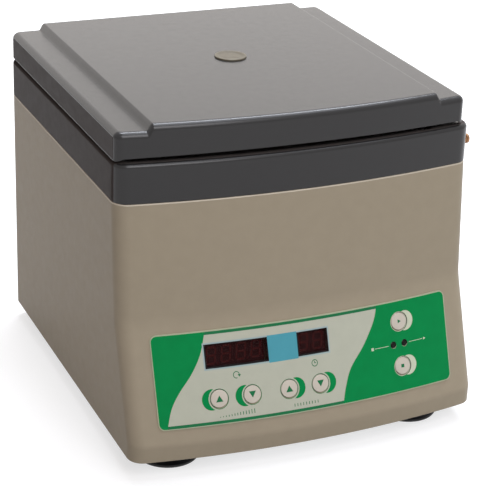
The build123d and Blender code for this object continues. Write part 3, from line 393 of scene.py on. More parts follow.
def make_materials():
    spindle = (origin.x, origin.y + rotor_centre.y, 0)
    grey = {"tone": (40, 39, 39), "depth": 0.000003, "specular": 0.32, "rub": (84, 84, 88)}
    matt = {"low": 0.4, "high": 0.48, "depth": 0.000008}
    found = {
        "housing": plastic("beige_plastic", (158, 147, 127), 0.42, 0.5, specular=0.1, rub=(190, 182, 166)),
        # painted highlight: a paler beige for the line along the cabinet's upper edge
        "painted_highlight_edge": plastic("beige_painted_highlight", (202, 192, 174), 0.35, 0.42, specular=0.25),
        "cover_grey": plastic("cover_plastic", low=0.22, high=0.26, **grey),
        "lid_grey": plastic("lid_plastic", low=0.23, high=0.27, **grey),
        # painted shade: the sides of the cover and lid get a matt, brownish copy of the grey plastic, without
        # its sheen
        "painted_shade_side": plastic("side_painted_shade", (60, 54, 51), specular=0.025, **matt),
        # painted shade: the cover's ledge under the lid's edge, a matt copy of the cover plastic in a paler
        # tone
        "ledge": plastic("ledge_painted_shade", (76, 71, 69), specular=0.0, **matt),
        "liner_plastic": plastic("liner_plastic", (196, 193, 186), 0.4, 0.55),
        "black_plastic": plastic("black_plastic", (26, 26, 27), 0.3, 0.45),
        "rocker_black": plastic("rocker_plastic", (22, 22, 23), 0.2, 0.3),
        "display_black": plastic("module_plastic", (50, 18, 18), 0.4, 0.55, specular=0.1),
        "key_cap": plastic("key_cap_plastic", (198, 190, 176), 0.3, 0.42, depth=0.000006),
        "window_edge": plastic("window_edge", (16, 12, 12), 0.3, 0.4, specular=0.15),
        "window_film": plastic("window_filter", (40, 8, 10), 0.08, 0.16, grain=0.003, variation=0.1,
                               specular=0.12, drift=0.004, alpha=0.3),
        "segment": plastic("unlit_segment", (98, 33, 30), 0.4, 0.6, grain=0.0006, variation=0.1,
                           specular=0.1, patch=0.004, drift=0.02),
        "led_dark": plastic("lamp_lens", (16, 12, 8), 0.12, 0.22, grain=0.0008, variation=0.2,
                            specular=0.15, patch=0.002, drift=0.002),
        "port_plastic": plastic("port_plastic", (90, 83, 68), 0.4, 0.5, grain=0.0012, depth=0.00002,
                                variation=0.08, specular=0.3, patch=0.006, drift=0.004, alpha=0.92),
        "galvanised": metal("zinc_sheet", (176, 178, 182), 0.35, 0.55, grain=0.004),
        "bright_steel": metal("turned_steel", (190, 190, 190), 0.2, 0.35),
        "hinge_steel": plastic("black_paint", (34, 34, 35), 0.35, 0.5, variation=0.15),
        "screw_steel": metal("screw_zinc", (180, 180, 178), 0.3, 0.45),
        "bowl_steel": metal("spun_steel", (196, 195, 192), 0.24, 0.38, centre=spindle, grain=0.0011,
                            depth=0.00002),
        "rotor_aluminium": metal("anodised_rotor", (192, 193, 196), 0.3, 0.42, centre=spindle, grain=0.0009),
        "bucket_steel": metal("turned_bucket", (178, 181, 186), 0.24, 0.36, stretch=(1, 1, 18)),
        "pin_brass": metal("turned_brass", (150, 112, 82), 0.22, 0.36, stretch=(14, 1, 1)),
        "armature_copper": metal("copper_winding", (170, 98, 60), 0.4, 0.6, stretch=(1, 1, 9), grain=0.002,
                                 depth=0.0002),
        "gasket_rubber": rubber("soft_rubber", (30, 30, 30), 0.6, 0.85),
        "foot_rubber": rubber("foot_rubber", (20, 20, 21), 0.45, 0.65),
        "motor_cast": plastic("cast_paint", (96, 99, 102), 0.5, 0.7, grain=0.0015, depth=0.00012),
        "solenoid_case": metal("plated_case", (150, 152, 156), 0.35, 0.5),
        "core_steel": plastic("varnished_core", (58, 56, 58), 0.35, 0.6, grain=0.0008, depth=0.0001),
        "circuit_board": plastic("board_mask", (22, 82, 50), 0.25, 0.4, variation=0.12),
        "green": ink("print_green", (2, 131, 68), variation=0.05),
    }
    prints = {"ground": (184, 186, 169), "edge": (170, 178, 150), "deep_green": (34, 112, 70),
              "blue": (80, 155, 169), "pale": (200, 206, 182), "haze": (160, 178, 178), "dark": (70, 74, 62)}
    return found | {name: ink("print_" + name, tone) for name, tone in prints.items()}


materials = make_materials()

# ---------------------------------------------------------------- meshes


def new_object(name, data):
    """Puts a mesh, lamp or camera in the scene."""
    made = bpy.data.objects.new(name, data)
    bpy.context.scene.collection.objects.link(made)
    return made


def new_mesh(name, vertices, faces):
    """Mesh from points in the machine's frame."""
    mesh = bpy.data.meshes.new(name)
    mesh.from_pydata([Vector(point) + origin for point in vertices], [], faces)
    return mesh


def smooth(mesh, sharp=32):
    """Smooth shading, with sharp edges above an angle in degrees."""
    mesh.shade_smooth()
    mesh.set_sharp_from_angle(angle=radians(sharp))


def tidy_normals(mesh, sharp=32):
    """Joins doubled points and turns all faces outward."""
    work = bmesh.new()
    work.from_mesh(mesh)
    bmesh.ops.remove_doubles(work, verts=work.verts, dist=1e-7)
    bmesh.ops.recalc_face_normals(work, faces=work.faces)
    work.to_mesh(mesh)
    work.free()
    smooth(mesh, sharp)


def add_piece(name, vertices, faces, body, slot, finishes=None, inks=None, sharp=32):
    """Piece that rides a body; inks gives each face one of its finishes."""
    mesh = new_mesh(name, vertices, faces)
    for finish in finishes or [slot]:
        mesh.materials.append(materials[finish])
    if inks:
        mesh.polygons.foreach_set("material_index", inks)
    piece = new_object(name, mesh)
    tidy_normals(mesh, sharp)
    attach(piece, body)
    return piece


def weighted(piece):
    """Lets the large faces set the shading beside narrow rounded edges."""
    modifier = piece.modifiers.new("weighted", "WEIGHTED_NORMAL")
    modifier.keep_sharp = True
    modifier.weight = 100
    return piece


def repaint(piece, finish, chosen):
    """Gives a finish to the faces that a test picks out."""
    piece.data.materials.append(materials[finish])
    last = len(piece.data.materials) - 1
    for face in piece.data.polygons:
        if chosen(face):
            face.material_index = last


def cut(piece, cutters):
    """Takes closed shapes out of a piece and keeps the result as its mesh."""
    tool = new_object("cutter", new_mesh("cutter", *merged(*cutters)))
    tidy_normals(tool.data)
    modifier = piece.modifiers.new("cut", "BOOLEAN")
    modifier.operation = "DIFFERENCE"
    modifier.solver = "EXACT"
    modifier.object = tool
    bpy.context.view_layer.update()
    evaluated = piece.evaluated_get(bpy.context.evaluated_depsgraph_get())
    result = bpy.data.meshes.new_from_object(evaluated)
    piece.modifiers.clear()
    piece.data = result
    bpy.data.objects.remove(tool)
    smooth(result)


def loft(rings, closed=False, caps=False):
    """Faces between rings of equally many points."""
    count = len(rings[0])
    vertices = [point for ring in rings for point in ring]
    faces = []
    for level in range(len(rings) if closed else len(rings) - 1):
        low, high = level * count, (level + 1) % len(rings) * count
        for index in range(count):
            following = (index + 1) % count
            faces.append((low + index, low + following, high + following, high + index))
    if caps:
        faces.append(tuple(range(count)))
        faces.append(tuple(range(len(vertices) - count, len(vertices))))
    return vertices, faces


def merged(*parts):
    """Several vertex and face lists as one."""
    vertices, faces = [], []
    for part_vertices, part_faces in parts:
        start = len(vertices)
        vertices += part_vertices
        faces += [tuple(start + index for index in face) for face in part_faces]
    return vertices, faces


def circle(x, z, radius, steps=48):
    return [(x + radius * cos(2 * pi * index / steps), z + radius * sin(2 * pi * index / steps))
            for index in range(steps)]


def prism(outline, axes, *heights):
    """Level outline of a frame, carried through some heights along its Z axis."""
    return loft([[axes @ Vector((*point, height)) for point in outline] for height in heights], caps=True)


def lathe(profile, axes, steps=64):
    """Surface turned about the Z axis of a frame; the profile is radius and height."""
    rings = [[axes @ Vector((*point, height)) for point in circle(0, 0, radius, steps)]
             for radius, height in profile]
    return loft(rings, caps=True)


def bore(radius, reach, axes, steps=48):
    """Cylinder along the Z axis of a frame, used to cut round openings."""
    return lathe([(radius, -reach), (radius, reach)], axes, steps)


def axis_frame(place, direction):
    """Frame at a place with its Z axis along a direction."""
    return Matrix.Translation(place) @ Vector(direction).to_track_quat("Z", "Y").to_matrix().to_4x4()


def bar(low, high):
    """Box between two corners, used to cut openings."""
    return prism(rectangle(low[0], high[0], low[1], high[1]), Matrix.Identity(4), low[2], high[2])


def rounding(radius, steps=5):
    """Inset and rise of a rounded edge, from its foot on the wall to its flat top."""
    return [(radius * (1 - cos(turn)), radius * sin(turn)) for turn in spread(0, pi / 2, steps)]


# ---------------------------------------------------------------- outlines


def arc(centre, radius, start, end):
    return [Vector((centre[0] + radius * cos(turn), centre[1] + radius * sin(turn)))
            for turn in spread(start, end, corner_steps)]


def rectangle(left, right, low, high, corner=0.0):
    if not corner:
        return [(left, low), (right, low), (right, high), (left, high)]
    outline = arc((right - corner, low + corner), corner, -pi / 2, 0)
    outline += arc((right - corner, high - corner), corner, 0, pi / 2)
    outline += arc((left + corner, high - corner), corner, pi / 2, pi)
    outline += arc((left + corner, low + corner), corner, pi, 3 * pi / 2)
    return [tuple(point) for point in outline]


def plan(left, right, front, back, corner, stations, bow):
    """Outline from above: bowed front from left to right, straight sides and rear."""
    bow_centre = front + bow
    ends = []
    for side in (left, right):
        x = side - copysign(corner, side)
        y = bow_centre - sqrt((bow - corner)**2 - x**2)
        tangent = atan2(y - bow_centre, x)
        ends.append(arc((x, y), corner, *((-pi, tangent) if side < 0 else (tangent, 0))))
    return [*ends[0], *[Vector((x, front + sag(x, bow))) for x in stations], *ends[1],
            *arc((right - corner, back - corner), corner, 0, pi / 2),
            *[Vector((x, back)) for x in reversed(stations)],
            *arc((left + corner, back - corner), corner, pi / 2, pi)]


def closed_edges(outline):
    return zip(outline, outline[1:] + outline[:1])


def divided(outline, parts_of):
    """The same outline with more points; the length of an edge gives the number of its parts."""
    fine = []
    for start, end in closed_edges([Vector(point) for point in outline]):
        parts = parts_of((end - start).length)
        fine += [start.lerp(end, index / parts) for index in range(parts)]
    return fine


def raised(outline, z):
    return [Vector((point.x, point.y, z)) for point in outline]


def foot_rings(ring, radius, z, *settings):
    """Rings of a rounded lower edge, from its flat underside to the wall."""
    return [ring(inset, z + radius - rise, *settings) for inset, rise in reversed(rounding(radius, 3))]


station_end = half_width - corner_radius - station_margin
cabinet_stations = spread(-station_end, station_end, station_steps)


def cabinet_ring(inset, z, shift=0.0):
    side = half_width - inset
    outline = plan(-side, side, apex - shift + inset, rear - inset, corner_radius - inset,
                   cabinet_stations, bow_radius - inset)
    return raised(outline, z)


# ---------------------------------------------------------------- cabinet


def make_cabinet():
    """Moulded cabinet: bowed and leaning front, sloping panel, soft bends, louvres behind."""
    levels = [lower_bend + step for step in spread(-lower_soft, lower_soft, 6)]
    levels += spread(film_low + film_border, film_high - film_border, 4)
    levels += [upper_bend + step for step in spread(-upper_soft, upper_soft, 8)]
    rings = foot_rings(cabinet_ring, seam_edge, 0, front_shift(0))
    rings += [cabinet_ring(0, z, front_shift(z)) for z in levels]
    rings += [cabinet_ring(inset, cabinet_top - seam_edge + rise) for inset, rise in rounding(seam_edge, 3)]
    rings += [cabinet_ring(wall, z, front_shift(z)) for z in (cabinet_top, upper_bend, lower_bend, 0)]
    piece = add_piece("cabinet", *loft(rings, closed=True), "root", "housing")
    cutters = [bore(key_radius + key_gap, bore_reach, face_frame(x, z)) for x, z in key_places.values()]
    cutters += [bore(lamp_radius + key_gap, bore_reach, face_frame(x, lamp_row)) for x in lamp_x]
    for name in windows:
        left, right, low, high = window_limits(name, window_room)
        cutters.append(bar((left, apex - panel_reach - past, low), (right, apex + past, high)))
    cut(piece, cutters + rear_cutters())
    paint_edge_highlight(piece)
    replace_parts(weighted(piece), "cabinet_shell")


def paint_edge_highlight(piece):
    """Painted highlight: a paler line along the cabinet's upper edge."""
    top = origin + Vector((0, 0, cabinet_top))

    def on_highlight_edge(face):
        away = face.center - top
        return away.z > -seam_edge and face.normal.z < level_limit and away.dot(face.normal) > 0

    repaint(piece, "painted_highlight_edge", on_highlight_edge)


def rear_cutters():
    """Louvres with round ends, and holes for inlet, fuse and switch, seen through the rear wall."""
    depth = (rear - wall - rear_past, rear + rear_past)
    radius = vent_height / 2
    cutters = []
    for row in range(vent_count):
        z = vent_z + row * vent_pitch
        outline = arc((vent_x + vent_length / 2 - radius, z), radius, -pi / 2, pi / 2)
        outline += arc((vent_x - vent_length / 2 + radius, z), radius, pi / 2, 3 * pi / 2)
        cutters.append(loft([[Vector((point.x, y, point.y)) for point in outline] for y in depth], caps=True))
    for node in ("mains_inlet", "switch_frame", "fuse_holder"):
        low, high = local_box(node)
        cutters.append(bar((low.x + rear_rim, depth[0], low.z + rear_rim),
                           (high.x - rear_rim, depth[1], high.z - rear_rim)))
    return cutters


# ---------------------------------------------------------------- cover and gasket


# faces that take the painted shade of a side
def on_shaded_side(face):
    return abs(face.normal.x) > shaded_side_limit


def on_shaded_ledge(face):
    """Whether a face of the cover lies on the narrow ledge beside the lid, which gets painted shade."""
    x, y, _ = face.center - origin
    beside = abs(x) > half_width - ledge_width or y > rear - ledge_width or y < apex + sag(x) + ledge_width
    return beside and abs(face.normal.y) < shaded_ledge_limit and not on_shaded_side(face)


def paint_shaded_sides(piece):
    """Paints shade on the sides of a grey moulding with a matt, brownish copy of its plastic, and on the
    cover's ledge with another.
    """
    repaint(piece, "painted_shade_side", on_shaded_side)
    repaint(piece, "ledge", lambda face: piece.name == "cover" and on_shaded_ledge(face))


def mouth_ring(outline, radius, z):
    """Circle round the rotor with one point for each point of an outline."""
    ring = []
    for point in outline:
        away = Vector((point.x, point.y)) - rotor_centre
        ring.append(Vector((*(rotor_centre + away.normalized() * radius), z)))
    return ring


def cover_ring(inset, z):
    """Outline of the cover with points along its straight sides, so that its mouth comes out round."""
    return divided(cabinet_ring(inset, z), lambda length: side_steps if length > half_width / 2 else 1)


def make_cover():
    """Grey cover: rounded upper edge, round mouth, slot for the striker, hole for the pin."""
    inner = cover_ring(wall, cover_top - wall)
    rings = foot_rings(cover_ring, seam_edge, cabinet_top)
    rings += [cover_ring(inset, cover_top - cover_edge + rise) for inset, rise in rounding(cover_edge, 6)]
    rings.append(cover_ring(ledge_width, cover_top))
    rings += [mouth_ring(inner, mouth_radius + mouth_edge - step, cover_top - drop)
              for step, drop in rounding(mouth_edge, 3)]
    rings += [mouth_ring(inner, mouth_radius, cover_top - wall), inner, cover_ring(wall, cabinet_top)]
    piece = add_piece("cover", *loft(rings, closed=True), "root", "cover_grey")
    x, y = local_box("lid_striker")[0].x + slot_offset, node_middle("lid_striker").y
    slot = bar((x - slot_across, y - slot_deep, cover_top - slot_floor),
               (x + slot_across, y + slot_deep, cover_top + slot_past))
    axes = axis_frame((half_width, y, node_middle("release_pin").z), (1, 0, 0))
    hole = bore(pin_hole_radius, past, axes, 40)
    cut(piece, [slot, hole])
    paint_shaded_sides(piece)
    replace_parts(weighted(piece), "top_cover")


def make_gasket():
    """Rubber ring with a hollow round bead, which the lid's liner lands on."""
    low, high = local_box("chamber_gasket")
    outer, inner = (high.x - low.x) / 2, mouth_radius - gasket_lap
    bead, top = (outer - inner) / 2, high.z - cover_top
    crown = [(inner + bead - bead * cos(turn), cover_top + top * (bead_foot + (1 - bead_foot) * sin(turn)))
             for turn in spread(0, pi, 14)]
    profile = [(mouth_radius, low.z), (inner, low.z), *crown, (outer, cover_top), (mouth_radius, cover_top)]
    rings = [[Vector((x, y, z)) for x, y in circle(*rotor_centre, radius, gasket_steps)]
             for radius, z in profile]
    piece = add_piece("gasket", *loft(rings, closed=True), "root", "gasket_rubber")
    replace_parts(piece, "chamber_gasket")


# ---------------------------------------------------------------- lid


def lid_height(x):
    """Height of the lid's top: side strips, soft ramps and the raised middle."""
    away = abs(x - lid_middle) - lid_panel_half
    rise = lid_high.z - lid_side
    height = lid_side + rise * max(0.0, min(1.0, 1 - away / ramp_run))
    steep = rise / ramp_run
    return height - softened(away, ramp_soft, steep) + softened(away - ramp_run, ramp_soft, steep)


def lid_stations():
    """Places across the lid, closer together on its two ramps."""
    ramp = spread(lid_panel_half - ramp_soft, lid_panel_half + ramp_run + ramp_soft, ramp_steps)
    middle = spread(-ramp[0], ramp[0], middle_steps)[1:-1]
    return [lid_middle + x for x in [-value for value in reversed(ramp)] + middle + ramp]


def lid_outline(inset):
    return plan(lid_low.x + inset, lid_high.x - inset, apex + lid_front_setback + inset,
                lid_high.y - inset, lid_corner - inset, lid_stations(), bow_radius - inset)


def lid_foot(inset, rise):
    """Lower edge of the lid: its sides hang lower than its front, which is lowest at its ends."""
    half = (lid_high.x - lid_low.x) / 2
    ring = []
    for point in lid_outline(inset):
        away = abs(point.x - lid_middle)
        side = max(0.0, min(1.0, 1 - (half - away) / lid_corner))
        front = lid_front_drop + lid_end_drop * (away / half)**2 if point.y < 0 else 0.0
        drop = front + (lid_side_drop - front) * side * side * (3 - 2 * side)
        ring.append(Vector((point.x, point.y, lid_low.z + rise - drop)))
    return ring


def make_lid():
    """Moulded lid with raised middle; its edge is rounded all the way round."""
    rings = [raised(lid_outline(wall), lid_side - wall), lid_foot(wall, 0), *foot_rings(lid_foot, lid_rim, 0)]
    for inset, rise in rounding(lid_edge, 8):
        rings.append([Vector((point.x, point.y, lid_height(point.x) - lid_edge + rise))
                      for point in lid_outline(inset)])
    vertices, faces = loft(rings)
    count = len(rings[0])
    faces.append(tuple(range(count)))
    faces += lid_top_faces(list(range(len(vertices)))[-count:], len(lid_stations()))
    piece = add_piece("lid", vertices, faces, "lid", "lid_grey")
    cut(piece, [bore(port_hole_radius, port_hole_reach, axis_frame(node_middle("lid_port"), (0, 0, 1)))])
    paint_shaded_sides(piece)
    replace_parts(weighted(piece), "lid_shell")


def lid_top_faces(ring, stations):
    """Strips from front to rear over a ring of points, and a flat face at each end."""
    turn = corner_steps + 1
    front = ring[turn:turn + stations]
    back = ring[3 * turn + stations:3 * turn + 2 * stations][::-1]
    left = ring[:turn] + [front[0], back[0]] + ring[3 * turn + 2 * stations:]
    right = [front[-1]] + ring[turn + stations:3 * turn + stations] + [back[-1]]
    return [*zip(front, front[1:], back[1:], back), tuple(left), tuple(right)]


def make_port():
    """Round clear port: a stepped rim with a slightly dished middle."""
    low, high = local_box("lid_port")
    radius, top, foot = (high.x - low.x) / 2, high.z - lid_high.z, low.z - lid_high.z
    place = Vector((*node_middle("lid_port").xy, lid_high.z))
    soft, drop = port_edge
    rim = [(radius - soft + soft * sin(turn), top - drop + drop * cos(turn)) for turn in spread(pi / 2, 0, 4)]
    dish = [(radius - inset, top - depth) for inset, depth in port_dish]
    profile = [(0.0, foot), (port_neck, foot), (port_neck, 0), (radius, 0), *rim, *dish,
               (0.0, top - port_middle)]
    piece = add_piece("port", *lathe(profile, axis_frame(place, (0, 0, 1)), 72), "lid", "port_plastic")
    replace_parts(piece, "lid_port")


# ---------------------------------------------------------------- control panel


def window_limits(name, margin=0.0):
    """Left, right, lower and upper limit of a window, with a margin round it."""
    x, width, _ = windows[name]
    across, up = width / 2 + margin, window_height / 2 + margin
    return x - across, x + across, window_middle - up, window_middle + up


def inside(point, outline):
    """Whether a point lies in a closed outline."""
    x, z = point
    within = False
    for (x1, z1), (x2, z2) in closed_edges(outline):
        if (z1 > z) != (z2 > z) and x < (x2 - x1) * (z - z1) / (z2 - z1) + x1:
            within = not within
    return within


def smooth_line(points, steps=8):
    """Curve through a few points, as a Catmull-Rom spline."""
    line = []
    ends = [points[0]] + points + [points[-1]]
    for a, b, c, d in zip(ends, ends[1:], ends[2:], ends[3:]):
        for t in spread(0, 1, steps)[:-1]:
            line.append(tuple(q + ((r - p) * t + (2 * p - 5 * q + 4 * r - s) * t**2
                                   + (3 * q - p - 3 * r + s) * t**3) / 2 for p, q, r, s in zip(a, b, c, d)))
    return line + [points[-1]]


def sheet(outline, holes, shapes, grid=0.005):
    """Triangles of an outline less its holes, and for each the index of its topmost shape."""
    points, edges = [], []
    for border in [outline, *holes, *[shape for _, shape in shapes]]:
        fine = divided(border, lambda length: max(1, round(length / grid)))
        edges += [(len(points) + index, len(points) + (index + 1) % len(fine)) for index in range(len(fine))]
        points += fine
    xs, zs = zip(*outline)
    across, up = round((max(xs) - min(xs)) / grid), round((max(zs) - min(zs)) / grid)
    points += [Vector((x, z)) for x in spread(min(xs), max(xs), across)[1:-1]
               for z in spread(min(zs), max(zs), up)[1:-1]]
    found, _, triangles, *_ = delaunay_2d_cdt(points, edges, [], 0, 1e-7)
    kept, tops = [], []
    for triangle in triangles:
        centre = sum((found[index] for index in triangle), Vector((0, 0))) / len(triangle)
        if not inside(centre, outline) or any(inside(centre, hole) for hole in holes):
            continue
        kept.append(tuple(triangle))
        under = [index for index, (_, shape) in enumerate(shapes) if inside(centre, shape)]
        tops.append(max(under, default=-1))
    return [tuple(point) for point in found], kept, tops


def thickened(front, faces, back):
    """Closes a thin sheet with its back and a rim round each of its borders."""
    count = len(front)
    directed = {edge for face in faces for edge in closed_edges(face)}
    rim = [(a, b, b + count, a + count) for a, b in directed if (b, a) not in directed]
    behind = [tuple(count + index for index in reversed(face)) for face in faces]
    return front + back, faces + behind + rim


def add_sheet(name, outline, holes, shapes, slot, ground, replaced):
    """Sheet on the sloping face, printed with coloured shapes over a ground."""
    points, faces, tops = sheet(outline, holes, shapes)
    finishes = [ground] + sorted({finish for finish, _ in shapes})
    inks = [finishes.index(shapes[top][0]) if top >= 0 else 0 for top in tops]
    front = [front_point(x, z, film_thickness) for x, z in points]
    back = [front_point(x, z) for x, z in points]
    vertices, all_faces = thickened(front, faces, back)
    inks += inks + [0] * (len(all_faces) - 2 * len(faces))
    piece = add_piece(name, vertices, all_faces, "root", slot, finishes, inks)
    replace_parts(piece, replaced)


# prints: curved borders of the green ends, rings and discs at the keys, signs and scales
left_swoop = [(-0.0846, 0.097), (-0.085, 0.0931), (-0.0901, 0.0777), (-0.0985, 0.0642), (-0.1092, 0.0518),
              (-0.1164, 0.0405), (-0.1209, 0.0266), (-0.1212, 0.023)]
right_swoop = [(0.0624, 0.097), (0.0619, 0.0925), (0.0581, 0.0821), (0.0474, 0.0663), (0.0347, 0.0519),
               (0.0288, 0.039), (0.0252, 0.0266), (0.0245, 0.023)]
crescent_shift = 0.006
crescent_radius = 0.0079
ring_line = 0.00035
pale_arc = 0.001
disc_radius = 0.0076
disc_shift = 0.0059
disc_shade = 0.0009
symbol_radius = 0.0027
symbol_line = 0.0006
symbol_shift = 0.002
symbol_tail = 0.0002
hour_hand, minute_hand = 0.0012, 0.0016
head_half, head_length = 0.0013, 0.0019
turn_angles = (0.05, 1.6 * pi)
unit_row = 0.0605
scale_row = 0.0306
speed_scale = (0.014, 0.0006, 0.0034, 13)
time_scale = (0.01, 0.0022, 0.0022, 9)
leader_reach, leader_gap, leader_line = 0.014, 0.0044, 0.0004
leader_room = 0.001
leader_sign, leader_point = 0.0011, 1.8


def printed(colour, *outlines):
    return [(colour, outline) for outline in outlines]


def key_prints():
    """Rings and crescents round the arrow keys, twin discs at start and stop."""
    prints = []
    edge = key_radius + key_gap + ring_line
    for name, (x, z) in key_places.items():
        if name in arrow_keys:
            side = -1 if name.startswith("speed") else 1
            rounds = (("green", side * crescent_shift, crescent_radius), ("ground", 0, edge + pale_arc),
                      ("deep_green", 0, edge))
        else:
            rounds = [(colour, shift, disc_radius) for colour, shift in
                      (("pale", disc_shift), ("dark", disc_shade), ("pale", 0))]
        prints += [(colour, circle(x + shift, z, radius)) for colour, shift, radius in rounds]
    return prints


def stroke(start, end, width=symbol_line):
    """Straight stroke between two points."""
    start, end = Vector(start), Vector(end)
    side = (end - start).orthogonal().normalized() * width / 2
    return [tuple(corner) for corner in (start + side, start - side, end - side, end + side)]


def turn_symbol(x, z):
    """Generic sign for turning: an open ring with an arrow head."""
    turns = spread(*turn_angles, 20)
    ring = [(x + radius * cos(turn), z + radius * sin(turn)) for radius, row in
            ((symbol_radius, turns), (symbol_radius - symbol_line, turns[::-1])) for turn in row]
    head_x, head_z = x + symbol_radius - symbol_line / 2, z + symbol_tail
    arrow = [(head_x - head_half, head_z), (head_x + head_half, head_z), (head_x, head_z - head_length)]
    return printed("deep_green", ring, arrow)


def clock_symbol(x, z):
    """Generic sign for time: a ring with two hands."""
    return [("deep_green", circle(x, z, symbol_radius, 32)),
            ("ground", circle(x, z, symbol_radius - symbol_line, 32)),
            ("deep_green", stroke((x, z - symbol_tail), (x, z + minute_hand))),
            ("deep_green", stroke((x - symbol_tail, z), (x + hour_hand, z)))]


def scale_marks(middle, half, low, high, count):
    """Row of ticks that rise from low to high, as beside a dial."""
    places, heights = spread(middle - half, middle + half, count - 1), spread(low, high, count - 1)
    return printed("deep_green", *[stroke((x, scale_row), (x, scale_row + height))
                                   for x, height in zip(places, heights)])


def lamp_marks():
    """Thin pale leaders from the two lamps, with a square for rest and an arrow for running."""
    size = leader_sign
    left, right = lamp_x[0] - leader_gap, lamp_x[1] + leader_gap
    far_left, far_right = left - leader_reach, right + leader_reach
    square = rectangle(far_left - 2 * size, far_left, lamp_row - size, lamp_row + size)
    tip = far_right + leader_point * size
    arrow = [(far_right, lamp_row - size), (tip, lamp_row), (far_right, lamp_row + size)]
    return printed("pale", stroke((far_left + leader_room, lamp_row), (left, lamp_row), leader_line),
                   stroke((right, lamp_row), (far_right - leader_room, lamp_row), leader_line), square, arrow)


def clipped(line, low, high):
    """The part of a falling line between two heights, with its ends on them."""
    kept = []
    for (x1, z1), (x2, z2) in zip(line, line[1:]):
        for z in (high, low):
            if z2 < z <= z1:
                kept.append((x1 + (x2 - x1) * (z1 - z) / (z1 - z2), z))
        if low < z2 < high:
            kept.append((x2, z2))
    return sorted(kept, key=lambda point: -point[1])


def corner_block(line, side, sign, low, high):
    """Coloured end of the film between its side with two round corners and a curved line."""
    corner = film_corner - film_border
    x = side - sign * corner
    upper = arc((x, high - corner), corner, pi / 2, pi / 2 - sign * pi / 2)
    lower = arc((x, low + corner), corner, pi / 2 - sign * pi / 2, pi / 2 - sign * pi)
    return line + [tuple(point) for point in reversed(upper + lower)]


def panel_prints():
    """All printed shapes of the film, the lowest layer first."""
    left, right = film_left + film_border, film_right - film_border
    low, high = film_low + film_border, film_high - film_border
    left_line, right_line = (clipped(smooth_line(line), low, high) for line in (left_swoop, right_swoop))
    prints = printed("ground", rectangle(left, right, low, high, film_corner - film_border))
    for end, bottom, top in ((0, high - band_height, high), (-1, low, low + band_height)):
        start, finish = left_line[end][0] - band_lap, right_line[end][0] + band_lap
        prints += printed("deep_green", rectangle(start, finish, bottom, top))
    prints += printed("green", corner_block(left_line, left, -1, low, high),
                      corner_block(right_line, right, 1, low, high))
    prints += printed("haze", *[rectangle(*window_limits(name, window_haze)) for name in windows])
    between = rectangle(window_limits("speed")[1], window_limits("time")[0], blue_low, blue_high)
    prints += printed("blue", between) + key_prints() + lamp_marks()
    speed_x = (arrow_keys["speed_up"] + arrow_keys["speed_down"]) / 2
    time_x = (arrow_keys["time_up"] + arrow_keys["time_down"]) / 2
    prints += turn_symbol(speed_x + symbol_shift, unit_row) + clock_symbol(windows["time"][0], unit_row)
    return prints + scale_marks(speed_x, *speed_scale) + scale_marks(time_x, *time_scale)


def make_film():
    """Printed film with openings for the windows, keys and lamps."""
    outline = rectangle(film_left, film_right, film_low, film_high, film_corner)
    holes = [rectangle(*window_limits(name)) for name in windows]
    holes += [circle(x, z, key_radius + key_gap) for x, z in key_places.values()]
    holes += [circle(x, lamp_row, lamp_radius + key_gap, 32) for x in lamp_x]
    add_sheet("panel_film", outline, holes, panel_prints(), "overlay_film", "edge", "control_overlay")


def make_windows():
    """Dark red panes with a black edge, which close the film's two window holes."""
    for name in windows:
        left, right, low, high = window_limits(name)
        clear = rectangle(left + pane_edge, right - pane_rim, low + pane_edge, high - pane_rim)
        add_sheet(f"{name}_pane", rectangle(left, right, low, high), [], [("window_film", clear)],
                  "window_film", "window_edge", f"{name}_window")


def digit_segments():
    """Seven segments of a digit about its middle: place of each, length across and length up."""
    across, up = digit_width / 2, digit_height / 2
    level = [(0, z, digit_width, 0) for z in (-up, 0, up)]
    return level + [(x, z, 0, up) for x in (-across, across) for z in (-up / 2, up / 2)]


def segment_outline(across, up):
    """Lamp segment along one of two directions: a bar with both its ends pointed."""
    half, tip = (across + up - segment_gap) / 2, digit_stroke / 2
    outline = [(-half, 0), (-half + tip, tip), (half - tip, tip), (half, 0), (half - tip, -tip),
               (-half + tip, -tip)]
    return [(z, x) for x, z in outline] if up else outline


def make_digits():
    """Unlit segments on the fronts of the two display modules."""
    back, steep = sin(panel_angle), cos(panel_angle)
    axes = frame_at(Vector((0, apex - front_shift(panel_centre), panel_centre)),
                    Vector((1, 0, 0)), Vector((0, back, steep)), Vector((0, -steep, back)))
    for name, (x, width, digits) in windows.items():
        depth = -sag(abs(x) + width / 2) * steep - wall - display_gap - digit_depth
        rise = (window_middle - panel_centre) / steep + sag(x) * back
        pitch = (width - display_margin) / digits
        outlines = []
        for index in range(digits):
            middle = x + pitch * (index + 0.5 - digits / 2)
            for place_x, place_z, *lengths in digit_segments():
                shape = segment_outline(*lengths)
                outlines.append([(middle + place_x + dx + tan(digit_lean) * (place_z + dz),
                                  rise + place_z + dz) for dx, dz in shape])
            dot = (middle + digit_width / 2 + dot_offset, rise - digit_height / 2)
            outlines.append(circle(*dot, dot_radius, 16))
        parts = [prism(outline, axes, depth, depth + digit_relief) for outline in outlines]
        add_piece(f"{name}_digits", *merged(*parts), "root", "display_black", ["segment"])


def key_mark(name):
    """Symbol on a key, as an outline about the key's middle."""
    half, rise = arrow_width / 2, arrow_height / 2
    marks = {"up": [(-half, -rise), (half, -rise), (0, rise)],
             "down": [(-half, rise), (0, -rise), (half, rise)],
             "start": start_mark, "stop": rectangle(-sign_half, sign_half, -sign_half, sign_half)}
    return marks[name.split("_")[-1]]


